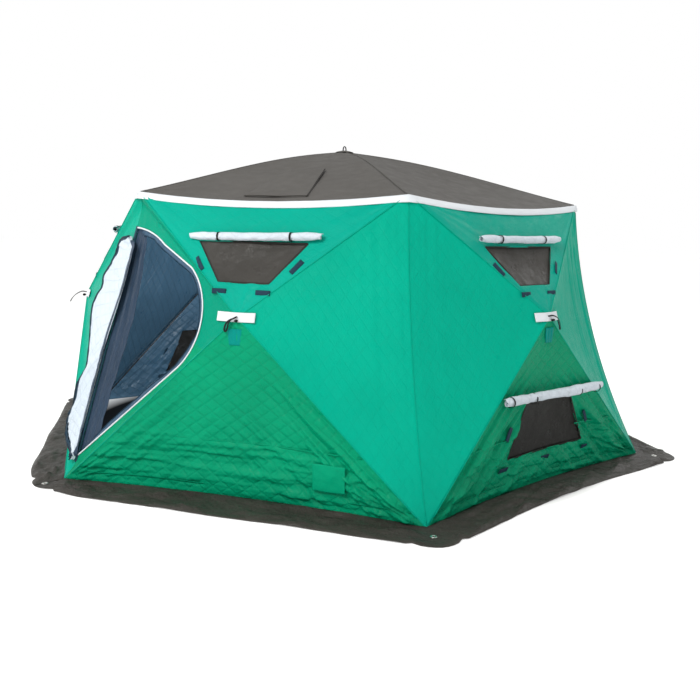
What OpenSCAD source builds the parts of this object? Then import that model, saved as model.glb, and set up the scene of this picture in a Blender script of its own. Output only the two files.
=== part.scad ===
// Six-sided pop-up ice fishing shelter: quilted panels pulled taut by hub-and-rod frames,
// a dark domed roof, a snow skirt on the ground, and one zipped door that swings on a corner seam.
// The origin is the centre of the footprint on the ground. The door corner points to -Y.

/* [Footprint and height] */
// Distance from the centre to a corner of the walls on the ground
base_r = 2150; // [2000:10:2300]
// Distance from the centre to a corner of the eave
eave_r = 1636; // [1550:2:1720]
// Height of the eave corners
eave_h = 1674; // [1600:2:1750]
// Height of the roof's peak
peak_h = 2030; // [1950:5:2100]
// Distance from the centre to a wall hub, where a wall bulges out most
hub_r = 1803; // [1760:1:1830]
// Height of the wall hubs
hub_h = 1007; // [960:1:1060]

/* [Fabric] */
// Share of the wall's thickness to the distance from the shelter's middle
fabric_share = 0.005; // [0.004:0.0005:0.007]
// How far an eave edge hangs below the straight line at its middle
eave_sag = 56; // [20:1:80]
// How far a base edge is pulled inwards at its middle
base_bow = 70; // [30:1:90]
// How far a corner seam is pulled inwards at its middle
seam_sag = 92; // [50:1:110]
// How far the door's corner seam is pulled inwards
door_seam_sag = 45; // [30:1:60]
// Rise of the roof rods above a straight line
ridge_rise = 35; // [10:1:60]
// Height of the pale band round the eave
band_h = 44; // [25:1:60]
// Width of the snow skirt
skirt_w = 230; // [180:5:260]
// Thickness of the snow skirt
skirt_t = 3; // [2:0.5:5]
// Radius of the skirt's round corners
skirt_corner_r = 150; // [60:5:200]

/* [Frame] */
// Radius of the fibreglass rods
rod_r = 5.5; // [4:0.25:7]
// Radius of a hub's body
hub_body_r = 40; // [30:1:50]
// Thickness of a hub's body
hub_body_t = 26; // [18:1:34]
// Radius of the pocket that holds the rods' tips at a corner
pocket_r = 20; // [14:1:22]

/* [Door] */
// Gap between the door's outline and the seams along the rods
door_inset = 88; // [60:1:100]
// Radius of the door's outline towards the hub
door_hub_r = 380; // [220:5:420]
// Height of the door's top along the corner seam
door_top = 1530; // [1480:5:1560]
// Distance from the corner seam to the door's straight edge
door_hem = 8; // [6:1:16]
// Width of the zip band behind the door's round edge
zip_band_w = 50; // [30:1:60]
// Thickness of the door flap
flap_t = 7; // [5:0.5:9]
// Angle between the open flap and the shut one
door_swing = 201; // [150:1:203]

/* [Windows] */
// Half the width of an upper window at its top
upper_top_w = 325; // [280:5:340]
// Half the width of an upper window at its bottom
upper_low_w = 150; // [120:5:170]
// Height of an upper window's top edge
upper_top_h = 1400; // [1360:5:1420]
// Height of an upper window's bottom edge
upper_low_h = 1184; // [1170:2:1210]
// Half the width of a lower window at its top
lower_top_w = 215; // [180:5:240]
// Half the width of a lower window at its bottom
lower_low_w = 380; // [340:5:400]
// Height of a lower window's top edge
lower_top_h = 534; // [500:2:560]
// Height of a lower window's bottom edge
lower_low_h = 211; // [190:1:240]
// Radius of a rolled window cover
roll_r = 24; // [14:1:28]
// Length of an upper rolled cover
upper_roll_l = 790; // [700:10:820]
// Length of a lower rolled cover
lower_roll_l = 1000; // [900:10:1040]

/* [Trim] */
// Distance from the centre to a grommet in the skirt
grommet_r = 2260; // [2230:5:2290]
// Radius of a grommet's hole
grommet_hole_r = 7.5; // [5:0.5:10]
// Outer radius of a grommet
grommet_ring_r = 15; // [12:0.5:20]
// Length of a pull strap
strap_l = 110; // [80:5:140]

/* [Hidden] */

$fn = 32;
WALLS = 6;
EDGE_STEPS = 12;                     // straight pieces along a curved fabric edge
ROOF_STEPS = 8;                      // rings from the peak to the eave
HALF = 180 / WALLS;                  // half the angle that a wall spans
MIDDLE = [0, 0, 900];                // the point that the fabric's thickness runs towards
GAP = 1;                             // hairline between pieces that lie edge to edge
ROLL_GAP = 7;                        // between a rolled cover and the wall
AXIS_OUT = 6;                        // the door hinge's distance outside the fabric
RIDGE_POWER = 1.4;                   // moves the roof rods' bulge towards the peak
FLAP_GAP = 6;                        // between the shut flap and the door's outline
NO_SAG = 0.04;                       // share of the door seam at each end that leaves the corner
TAB_SIZE = [82, 28];                 // a window's fastener tab
UPPER_SHIFT = -14;                   // how far an upper window and its tabs sit off the middle
LOWER_SHIFT = 45;                    // the same for a lower window
INSIDE = 1 - fabric_share;           // scale of a panel's inner face about MIDDLE

WINDOW_GREEN = "#00a884";
QUILT_GREEN = "#00915f";
CHARCOAL = "#4a4a48";
SKIRT_GREY = "#3c3a37";
NAVY = "#1e3f52";
PALE = "#e8edf2";

// ---- points and curves, in a wall's own frame: the wall faces +X ----

function polar(r, a, z) = [r * cos(a), r * sin(a), z];
function mix(a, b, t) = a + (b - a) * t;
function bump(t) = 4 * t * (1 - t);
function unit(v) = v / norm(v);
function about_middle(p, k) = MIDDLE + (p - MIDDLE) * k;
function wall_angle(i) = -60 + 60 * (i - 1);
function corner_angle(i) = -90 + 60 * (i - 1);

HUB = [hub_r, 0, hub_h];
EAVE_L = polar(eave_r, -HALF, eave_h);
EAVE_R = polar(eave_r, HALF, eave_h);
BASE_L = polar(base_r, -HALF, 0);
BASE_R = polar(base_r, HALF, 0);
EAVE_DOWN = unit(HUB - (EAVE_L + EAVE_R) / 2);

function eave(t) = mix(EAVE_L, EAVE_R, t) + EAVE_DOWN * eave_sag * bump(t);
function base(t) = mix(BASE_L, BASE_R, t) - [base_bow, 0, 0] * bump(t);
function inward(s) = [-cos(s * HALF), -sin(s * HALF), 0];
function seam_pull(t, is_door) =
    is_door ? door_seam_sag * min(1, min(t, 1 - t) / NO_SAG) : seam_sag * bump(t);
// The corner seam at the wall's left (s = -1) or right (s = 1), from the eave down
function seam(s, t, is_door) =
    mix(s < 0 ? EAVE_L : EAVE_R, s < 0 ? BASE_L : BASE_R, t) + inward(s) * seam_pull(t, is_door);
function ridge(s, t) =
    mix([0, 0, peak_h], s < 0 ? EAVE_L : EAVE_R, t)
    + [0, 0, ridge_rise * sin(180 * pow(1 - t, RIDGE_POWER))];
// A point of the roof: t from the peak to the eave, v from left to right
function roof(t, v) =
    mix(ridge(-1, t), ridge(1, t), v) + EAVE_DOWN * eave_sag * t * t * bump(v);

function steps(n) = [for (i = [0:n]) i / n];
function tail(list) = [for (i = [1:len(list) - 1]) list[i]];
// Shares down a corner seam; the door's has a point where it leaves the corner at each end
function seam_steps(is_door) =
    is_door ? concat([0, NO_SAG], [for (i = [1:EDGE_STEPS - 1]) i / EDGE_STEPS], [1 - NO_SAG, 1])
            : steps(EDGE_STEPS);

// ---- shells ----

// A panel fanned from one point to a curve, with its thickness towards MIDDLE
module fan(tip, curve, k_out = 1, k_in = INSIDE) {
    n = len(curve);
    rim = concat([tip], curve);
    outer = [for (p = rim) about_middle(p, k_out)];
    inner = [for (p = rim) about_middle(p, k_in)];
    faces = concat(
        [for (i = [1:n - 1]) [0, i + 1, i]],
        [for (i = [1:n - 1]) [n + 1, n + 1 + i, n + 2 + i]],
        [for (i = [0:n]) let (j = (i + 1) % (n + 1)) [i, j, n + 1 + j]],
        [for (i = [0:n]) let (j = (i + 1) % (n + 1)) [i, n + 1 + j, n + 1 + i]]);
    polyhedron(concat(outer, inner), faces);
}

// A four-sided patch through a grid of points, with its thickness towards MIDDLE
module grid_shell(rows, k_out = 1, k_in = INSIDE) {
    m = len(rows);
    n = len(rows[0]);
    function at(side, i, j) = side * m * n + i * n + j;
    flat = [for (r = rows) for (p = r) p];
    cells = [for (i = [0:m - 2]) for (j = [0:n - 2]) [i, j]];
    rim = concat(
        [for (j = [0:n - 2]) [[0, j], [0, j + 1]]],
        [for (i = [0:m - 2]) [[i, n - 1], [i + 1, n - 1]]],
        [for (j = [n - 1:-1:1]) [[m - 1, j], [m - 1, j - 1]]],
        [for (i = [m - 1:-1:1]) [[i, 0], [i - 1, 0]]]);
    faces = concat(
        [for (c = cells) [at(0, c.x, c.y), at(0, c.x + 1, c.y + 1), at(0, c.x + 1, c.y)]],
        [for (c = cells) [at(0, c.x, c.y), at(0, c.x, c.y + 1), at(0, c.x + 1, c.y + 1)]],
        [for (c = cells) [at(1, c.x, c.y), at(1, c.x + 1, c.y), at(1, c.x + 1, c.y + 1)]],
        [for (c = cells) [at(1, c.x, c.y), at(1, c.x + 1, c.y + 1), at(1, c.x, c.y + 1)]],
        [for (e = rim) [at(0, e[0].x, e[0].y), at(1, e[0].x, e[0].y), at(1, e[1].x, e[1].y)]],
        [for (e = rim) [at(0, e[0].x, e[0].y), at(1, e[1].x, e[1].y), at(0, e[1].x, e[1].y)]]);
    points = concat([for (p = flat) about_middle(p, k_out)], [for (p = flat) about_middle(p, k_in)]);
    polyhedron(points, faces);
}

// A tube of eight sides along a list of points
module tube(path, r) {
    SIDES = 8;
    n = len(path);
    function heading(i) = unit(path[min(i + 1, n - 1)] - path[max(i - 1, 0)]);
    function ring(i) =
        let (d = heading(i), a = unit(cross(d, [0, 0, 1])), b = cross(a, d))
        [for (k = [0:SIDES - 1]) path[i] + (a * cos(360 * k / SIDES) + b * sin(360 * k / SIDES)) * r];
    faces = concat(
        [[for (k = [SIDES - 1:-1:0]) k]],
        [[for (k = [0:SIDES - 1]) (n - 1) * SIDES + k]],
        [for (i = [0:n - 2]) for (k = [0:SIDES - 1]) let (m = (k + 1) % SIDES)
            [i * SIDES + k, i * SIDES + m, (i + 1) * SIDES + m, (i + 1) * SIDES + k]]);
    polyhedron([for (i = [0:n - 1]) for (p = ring(i)) p], faces);
}

module rod(a, b, r) {
    d = b - a;
    translate(a)
        rotate([0, acos(d.z / norm(d)), atan2(d.y, d.x)])
            cylinder(h = norm(d), r = r);
}

module on_wall(i) rotate([0, 0, wall_angle(i)]) children();
module on_every_wall() for (i = [1:WALLS]) on_wall(i) children();
module on_every_corner() for (i = [1:WALLS]) rotate([0, 0, corner_angle(i)]) children();

// A prism through a wall, from an outline of [across, up] points
module through_wall(outline) {
    REACH = 1000;
    translate([1200, 0, 0])
        rotate([90, 0, 90])
            linear_extrude(REACH) polygon(outline);
}

// ---- window outlines ----

function window(top_w, top_h, low_w, low_h, shift, inset) =
    [[shift - low_w + inset, low_h + inset], [shift + low_w - inset, low_h + inset],
     [shift + top_w - inset, top_h - inset], [shift - top_w + inset, top_h - inset]];
function upper_window(inset = 0) =
    window(upper_top_w, upper_top_h, upper_low_w, upper_low_h, UPPER_SHIFT, inset);
function lower_window(inset = 0) =
    window(lower_top_w, lower_top_h, lower_low_w, lower_low_h, LOWER_SHIFT, inset);
function has_lower_window(i) = i == 2 || i == 5;

// ---- wall and roof panels ----

UPPER_CURVE = [for (t = steps(EDGE_STEPS)) eave(1 - t)];
LOWER_CURVE = [for (t = steps(EDGE_STEPS)) base(t)];

module upper_panel(i) {
    color(WINDOW_GREEN) on_wall(i) difference() {
        fan(HUB, UPPER_CURVE);
        through_wall(upper_window());
    }
}

module lower_panel(i) {
    color(QUILT_GREEN) on_wall(i) difference() {
        fan(HUB, LOWER_CURVE);
        if (has_lower_window(i)) through_wall(lower_window());
    }
}

// The half of a corner that hangs from the hub of wall i, on its left (s = -1) or right side
module half_corner(i, s, is_door) {
    FREE = 0.0004; // share by which the two halves stay apart at the seam
    toward_hub = function(p) mix(p, HUB, FREE);
    down = [for (t = seam_steps(is_door)) toward_hub(seam(s, s < 0 ? t : 1 - t, is_door))];
    on_wall(i) fan(HUB, down);
}

module corner_panel(i) {
    before = i == 1 ? WALLS : i - 1;
    color(WINDOW_GREEN) {
        half_corner(before, 1, i == 1);
        if (i != 1) half_corner(i, -1, false);
    }
}

module roof_panel(i) {
    FIRST = 0.03; // the roof hub's opening at the peak, as a share of the slope
    rows = [for (t = steps(ROOF_STEPS)) [for (v = steps(EDGE_STEPS)) roof(mix(FIRST, 1, t), v)]];
    color(CHARCOAL) on_wall(i) grid_shell(rows);
}

module eave_band() {
    FACES = [1.0035, 1.0006]; // scale of the tape's outer and inner face about MIDDLE
    share = band_h / norm(HUB - eave(0.5));
    rows = [[for (t = steps(EDGE_STEPS)) eave(t)], [for (t = steps(EDGE_STEPS)) mix(eave(t), HUB, share)]];
    color(PALE) on_every_wall() grid_shell(rows, FACES[0], FACES[1]);
}

// ---- snow skirt ----

SKIRT_ARC_R = base_r + (skirt_w - skirt_corner_r) / cos(HALF);  // centres of its round corners

function flat(p) = [p.x, p.y];
function turned(p, a) = [p.x * cos(a) - p.y * sin(a), p.x * sin(a) + p.y * cos(a)];
function skirt_edge() =
    [for (i = [1:WALLS]) for (a = [-HALF:HALF / 4:HALF])
        flat(polar(SKIRT_ARC_R, corner_angle(i), 0) + polar(skirt_corner_r, corner_angle(i) + a, 0))];
function wall_line() =
    [for (i = [1:WALLS]) for (k = [0:EDGE_STEPS - 1])
        turned(base(k / EDGE_STEPS) + [GAP, 0, 0], wall_angle(i))];

// The part of the skirt between two directions
module skirt_part(from, to) {
    FAR = 2 * base_r;
    HAIR = 0.015;   // half the angle left open between two parts
    RING_GAP = 0.3; // round an eyelet
    linear_extrude(skirt_t) difference() {
        intersection() {
            polygon(skirt_edge());
            polygon([[0, 0], flat(polar(FAR, from + HAIR, 0)), flat(polar(FAR, to - HAIR, 0))]);
        }
        polygon(wall_line());
        rotate((from + to) / 2) translate([grommet_r, 0]) circle(grommet_ring_r + RING_GAP);
    }
}

module snow_skirt() {
    CORNER = 6; // half the angle that a corner piece spans
    color(SKIRT_GREY) for (i = [1:WALLS]) {
        skirt_part(corner_angle(i) - CORNER, corner_angle(i) + CORNER);
        skirt_part(corner_angle(i) + CORNER, wall_angle(i));
        skirt_part(wall_angle(i), corner_angle(i) + 2 * HALF - CORNER);
    }
}

module grommets() {
    color("silver") on_every_corner() translate([grommet_r, 0, 0]) difference() {
        cylinder(h = skirt_t + 1, r = grommet_ring_r);
        translate([0, 0, -1]) cylinder(h = skirt_t + 3, r = grommet_hole_r);
    }
}

// ---- frame of hubs and rods ----

HUB_DEPTH = 48;                                    // from the fabric's tip to a hub's centre
HUB_CENTRE = HUB - [HUB_DEPTH, 0, 0];
TOP_POCKET = [eave_r - 62, eave_h - 46];           // distance from the centre, height
LOW_POCKET = [base_r - 74, 28];
ROD_START = 4;                                     // from a hub's rim to a rod's end
ROOF_ROD_DROP = 28;                                // rods below the roof's ridges
ROOF_HUB_H = peak_h - 52;

module hubs() {
    color("#202224") {
        on_every_wall() translate(HUB_CENTRE) rotate([0, 90, 0])
            cylinder(h = hub_body_t, r = hub_body_r, center = true);
        translate([0, 0, ROOF_HUB_H]) cylinder(h = hub_body_t, r = hub_body_r);
    }
}

// The rods from a wall hub to the two corners at one height
module wall_rods(pocket) {
    for (s = [-1, 1]) {
        tip = polar(pocket.x, s * HALF, pocket.y);
        way = unit(tip - HUB_CENTRE);
        rod(HUB_CENTRE + way * (hub_body_r + ROD_START), tip - way * (pocket_r + GAP), rod_r);
    }
}

module upper_wall_rods() color("#1b1c1e") on_every_wall() wall_rods(TOP_POCKET);
module lower_wall_rods() color("#1b1c1e") on_every_wall() wall_rods(LOW_POCKET);

module roof_rods() {
    SPAN = [0.03, 0.962];
    path = [for (t = steps(ROOF_STEPS)) ridge(-1, mix(SPAN[0], SPAN[1], t)) - [0, 0, ROOF_ROD_DROP]];
    color("#1b1c1e") on_every_wall() tube(path, rod_r);
}

module rod_pockets() {
    color("#26282a") on_every_corner() for (p = [TOP_POCKET, LOW_POCKET])
        translate([p.x, 0, p.y]) sphere(pocket_r);
}

// ---- door ----

// The flat half of the door's corner: across from the seam, up along it, and out of the shelter
DOOR_LOW = BASE_L + inward(-1) * door_seam_sag;
DOOR_UP = unit(EAVE_L - BASE_L);
DOOR_ACROSS = unit((HUB - DOOR_LOW) - ((HUB - DOOR_LOW) * DOOR_UP) * DOOR_UP);
DOOR_OUT = cross(DOOR_ACROSS, DOOR_UP);

function on_door(p) = [(p - DOOR_LOW) * DOOR_ACROSS, (p - DOOR_LOW) * DOOR_UP];
D_HUB = on_door(HUB);
D_EAVE = on_door(EAVE_L);
D_BASE = on_door(BASE_L);
UPPER_RISE = atan2(D_EAVE.y - D_HUB.y, D_HUB.x - D_EAVE.x);
LOWER_RISE = atan2(D_HUB.y - D_BASE.y, D_HUB.x - D_BASE.x);
TIP_HALF = 90 - (UPPER_RISE + LOWER_RISE) / 2;
TIP_WAY = 180 + (LOWER_RISE - UPPER_RISE) / 2;
TIP_CENTRE = D_HUB + (door_inset + door_hub_r) / sin(TIP_HALF) * [cos(TIP_WAY), sin(TIP_WAY)];
TOP_LINE = D_HUB.y + D_HUB.x * tan(UPPER_RISE) - door_inset / cos(UPPER_RISE);
TOP_R = (TOP_LINE - door_top) * cos(UPPER_RISE) / (1 - cos(UPPER_RISE));
TOP_CENTRE = [0, door_top - TOP_R];

function arc(c, r, from, to) = [for (t = steps(10)) c + r * [cos(mix(from, to, t)), sin(mix(from, to, t))]];
// The door's outline, drawn in from its edge, with its straight side at hem from the seam
function door_outline(inset, hem) =
    let (low = D_BASE.y + (hem - D_BASE.x) * tan(LOWER_RISE) + (door_inset + inset) / cos(LOWER_RISE))
    concat([[hem, low]],
        arc(TIP_CENTRE, door_hub_r - inset, LOWER_RISE - 90, 90 - UPPER_RISE),
        arc(TOP_CENTRE, TOP_R - inset, 90 - UPPER_RISE, acos(hem / (TOP_R - inset))));

module on_door_plane() {
    x = DOOR_ACROSS;
    y = DOOR_UP;
    z = DOOR_OUT;
    o = DOOR_LOW;
    on_wall(1)
        multmatrix([[x.x, y.x, z.x, o.x], [x.y, y.y, z.y, o.y], [x.z, y.z, z.z, o.z], [0, 0, 0, 1]])
            children();
}

// A plate in the door's plane from depth low to depth high
module door_plate(outline, low, high) {
    translate([0, 0, low]) linear_extrude(high - low) polygon(outline);
}

module door_ring(outer, inner, low, high) {
    difference() {
        door_plate(door_outline(outer, door_hem), low, high);
        door_plate(door_outline(inner, door_hem), low - 1, high + 1);
    }
}

module door_surround() {
    THROUGH = 60;
    color(WINDOW_GREEN) difference() {
        half_corner(1, -1, true);
        on_door_plane() door_plate(door_outline(0, door_hem), -THROUGH, THROUGH);
    }
}

module door_piping() {
    PIPING = [-5, 4];
    color(PALE) on_door_plane() door_ring(PIPING[0], PIPING[1], 0.6, 3.6);
}

module door_zip_band() {
    SEWN = 20;
    DEPTH = [-16, -13, -9.4]; // its back, its front, and the wall's inner face
    color(NAVY) on_door_plane() {
        door_ring(-SEWN, 0, DEPTH[0], DEPTH[2]);
        door_ring(-1, zip_band_w, DEPTH[0], DEPTH[1]);
    }
}

module door_flap() {
    EDGE = 10;
    color(PALE) on_door_plane()
        translate([0, 0, AXIS_OUT]) rotate([0, -door_swing, 0]) translate([0, 0, -AXIS_OUT])
            door_plate(door_outline(EDGE, door_hem + FLAP_GAP), -flap_t, 0);
}

// ---- windows ----

PANE = [0.9985, 0.9965];             // a screen's faces, inside the wall's thickness
UPPER_ROLL_H = 1432;
LOWER_ROLL_H = 556;
LOWER_ROLL_X = hub_r + 54;
LOWER_ROLL_SHIFT = 40;

module upper_windows() {
    color("#3f3d3b") on_every_wall() intersection() {
        fan(HUB, UPPER_CURVE, PANE[0], PANE[1]);
        through_wall(upper_window(GAP));
    }
}

module lower_windows() {
    color("#3f3d3b") for (i = [1:WALLS]) if (has_lower_window(i)) on_wall(i) intersection() {
        fan(HUB, LOWER_CURVE, PANE[0], PANE[1]);
        through_wall(lower_window(GAP));
    }
}

module upper_roll_place() {
    lean = atan2(-EAVE_DOWN.z, EAVE_DOWN.x);
    foot = HUB - EAVE_DOWN * (UPPER_ROLL_H - hub_h) / -EAVE_DOWN.z;
    translate(foot + [sin(lean), 0, cos(lean)] * (roll_r + ROLL_GAP)) children();
}

module lower_roll_place() {
    translate([LOWER_ROLL_X, LOWER_ROLL_SHIFT, LOWER_ROLL_H]) children();
}

module roll(length) rotate([90, 0, 0]) cylinder(h = length, r = roll_r, center = true);

module upper_window_rolls() color(PALE) on_every_wall() upper_roll_place() roll(upper_roll_l);

module lower_window_rolls() {
    color(PALE) for (i = [1:WALLS]) if (has_lower_window(i)) on_wall(i) lower_roll_place()
        roll(lower_roll_l);
}

module ties(apart) {
    TIE = [0.5, 3, 20]; // clearance, thickness and width
    for (s = [-1, 1]) translate([0, s * apart, 0]) rotate([90, 0, 0]) difference() {
        cylinder(h = TIE[2], r = roll_r + TIE[1], center = true);
        cylinder(h = TIE[2] + 2, r = roll_r + TIE[0], center = true);
    }
}

module roll_ties() {
    APART = [215, 235]; // from the middle of an upper and of a lower roll
    color("#18191a") {
        on_every_wall() upper_roll_place() ties(APART[0]);
        for (i = [1:WALLS]) if (has_lower_window(i)) on_wall(i) lower_roll_place() ties(APART[1]);
    }
}

// ---- sewn-on trim ----

PROUD = [1.0026, 1.0006];            // faces of trim that is sewn on the outside

// The whole face of wall i round its hub, moved out to where sewn-on trim lies
module proud_face(i) {
    down = [for (t = seam_steps(i == 1)) seam(-1, t, i == 1)];
    up = [for (t = seam_steps(i == WALLS)) seam(1, 1 - t, i == WALLS)];
    rim = concat(UPPER_CURVE, tail(down), tail(LOWER_CURVE), [for (k = [1:len(up) - 2]) up[k]]);
    n = len(rim);
    ring = concat([HUB], rim);
    faces = concat(
        [for (k = [1:n]) [0, k % n + 1, k]],
        [for (k = [1:n]) [n + 1, n + 1 + k, n + 2 + k % n]],
        [for (k = [1:n]) [k, k % n + 1, n + 2 + k % n]],
        [for (k = [1:n]) [k, n + 2 + k % n, n + 1 + k]]);
    polyhedron(concat([for (p = ring) about_middle(p, PROUD[0])],
                      [for (p = ring) about_middle(p, PROUD[1])]), faces);
}

function tab(at, lean) =
    [for (c = [[-1, -1], [1, -1], [1, 1], [-1, 1]])
        at + turned([c.x * TAB_SIZE.x / 2, c.y * TAB_SIZE.y / 2], lean)];

module both_sides(at, lean, shift) {
    through_wall(tab([shift + at.x, at.y], lean));
    through_wall(tab([shift - at.x, at.y], -lean));
}

module window_tabs() {
    UPPER_SIDE = [288, 1276];
    UPPER_LOW = [128, 1136];
    LOWER_SIDE = [390, 362];
    LOWER_LOW = [424, 160];
    side_lean = atan2(upper_top_h - upper_low_h, upper_top_w - upper_low_w);
    low_lean = atan2(lower_top_h - lower_low_h, lower_top_w - lower_low_w);
    color(NAVY) {
        on_every_wall() intersection() {
            fan(HUB, UPPER_CURVE, PROUD[0], PROUD[1]);
            union() {
                both_sides(UPPER_SIDE, side_lean, UPPER_SHIFT);
                both_sides(UPPER_LOW, 0, UPPER_SHIFT);
            }
        }
        for (i = [1:WALLS]) if (has_lower_window(i)) on_wall(i) intersection() {
            fan(HUB, LOWER_CURVE, PROUD[0], PROUD[1]);
            union() {
                both_sides(LOWER_SIDE, low_lean, LOWER_SHIFT);
                both_sides(LOWER_LOW, 0, LOWER_SHIFT);
                through_wall(tab([LOWER_SHIFT, LOWER_LOW.y], 0));
            }
        }
    }
}

module hub_patches() {
    PATCH = [112, 25]; // half its width and half its height
    CAP = [60, 12, 14]; // the roof patch's outer radius, inner radius and rise
    color(PALE) for (i = [1:WALLS]) on_wall(i) intersection() {
        proud_face(i);
        through_wall([for (c = [[-1, -1], [1, -1], [1, 1], [-1, 1]])
            [c.x * PATCH.x, hub_h + c.y * PATCH.y]]);
    }
    color(CHARCOAL) translate([0, 0, peak_h - CAP[2] / 2 + 4]) cylinder(h = CAP[2], r1 = CAP[0], r2 = CAP[1]);
}

module pull_straps() {
    STRAP = [5, 22]; // thickness and width of the webbing
    ROOF_LOOP = 30;
    OUT = 14;
    color("#141516") {
        on_every_wall() translate(HUB + [OUT, -STRAP.y / 2, -strap_l]) cube([STRAP.x, STRAP.y, strap_l]);
        translate([-STRAP.x / 2, -STRAP.y / 2, peak_h + 12]) cube([STRAP.x, STRAP.y, ROOF_LOOP]);
    }
}

module roof_patch() {
    UP = [0.55, 0.94];       // from the peak to the eave
    ACROSS = [0.39, 0.645];  // from left to right
    rows = [for (t = steps(4)) [for (v = steps(4))
        roof(mix(UP[0], UP[1], t), mix(ACROSS[0], ACROSS[1], v))]];
    color(CHARCOAL) on_wall(1) grid_shell(rows, 1 + 2 * (PROUD[0] - 1), PROUD[1]);
}

module port_cover() {
    LOW = [442, 124];
    HIGH = [626, 270];
    color(QUILT_GREEN) on_wall(1) intersection() {
        fan(HUB, LOWER_CURVE, PROUD[0], PROUD[1]);
        through_wall([LOW, [HIGH.x, LOW.y], HIGH, [LOW.x, HIGH.y]]);
    }
}

for (i = [1:WALLS]) {
    upper_panel(i);
    lower_panel(i);
    corner_panel(i);
    roof_panel(i);
}
door_surround();
door_flap();
door_piping();
door_zip_band();
eave_band();
snow_skirt();
grommets();
hubs();
upper_wall_rods();
lower_wall_rods();
roof_rods();
rod_pockets();
upper_windows();
lower_windows();
upper_window_rolls();
lower_window_rolls();
roll_ties();
window_tabs();
hub_patches();
pull_straps();
roof_patch();
port_cover();
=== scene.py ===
"""A six-sided pop-up ice fishing shelter: taut quilted panels on hubs and rods, a domed roof, a skirt and a door."""

import logging
import math
from dataclasses import dataclass
from enum import Enum
from typing import Callable, Sequence

import bmesh
import bpy
import numpy as np
from mathutils import Matrix, Vector


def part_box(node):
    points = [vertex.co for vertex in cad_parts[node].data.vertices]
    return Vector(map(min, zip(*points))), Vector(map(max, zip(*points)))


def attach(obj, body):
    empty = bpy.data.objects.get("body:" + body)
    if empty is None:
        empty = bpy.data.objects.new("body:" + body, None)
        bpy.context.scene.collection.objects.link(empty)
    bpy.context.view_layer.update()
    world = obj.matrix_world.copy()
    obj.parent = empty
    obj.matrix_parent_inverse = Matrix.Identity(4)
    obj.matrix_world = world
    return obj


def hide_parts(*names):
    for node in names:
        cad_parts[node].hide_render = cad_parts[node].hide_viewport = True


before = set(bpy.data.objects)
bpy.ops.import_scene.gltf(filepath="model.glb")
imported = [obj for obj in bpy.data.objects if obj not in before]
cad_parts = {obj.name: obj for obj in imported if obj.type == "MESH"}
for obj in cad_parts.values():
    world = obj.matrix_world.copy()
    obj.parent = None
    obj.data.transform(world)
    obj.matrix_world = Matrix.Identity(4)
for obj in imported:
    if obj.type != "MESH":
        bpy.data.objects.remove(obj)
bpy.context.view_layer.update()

LOG = logging.getLogger("shelter")
Array = np.ndarray
Place = Callable[[Array, Array], Array]
Run = tuple[Array, Array]

WALLS = 6
HALF_TURN = math.pi / WALLS
WALL_STEP = 60.0
FIRST_WALL = -60.0
FIRST_CORNER = -90.0
EYELET_R = 2.260


# ---------------------------------------------------------------- the shelter's shape


def polar(radius: float, angle: float, height: float) -> Array:
    """A point at a distance and an angle (radians) from the shelter's middle line."""
    return np.array([radius * math.cos(angle), radius * math.sin(angle), height])


def mix(a: Array, b: Array, t: Array) -> Array:
    """Points between a and b, one for each share in t."""
    t = np.asarray(t, float)[..., None]
    return a + (b - a) * t


def bump(t: Array) -> Array:
    """A parabola that is 0 at both ends of the range 0 to 1 and 1 in its middle."""
    return 4 * t * (1 - t)


def ease(t: Array) -> Array:
    """A smooth step from 0 to 1."""
    s = np.clip(t, 0, 1)
    return s * s * (3 - 2 * s)


def unit(v: Array) -> Array:
    """Vectors at length 1."""
    return v / np.maximum(np.linalg.norm(v, axis=-1, keepdims=True), 1e-12)


def node_box(name: str) -> tuple[Array, Array]:
    """A CAD node's lowest and highest corners, as arrays."""
    low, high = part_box(name)
    return np.array(low, float), np.array(high, float)


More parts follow.
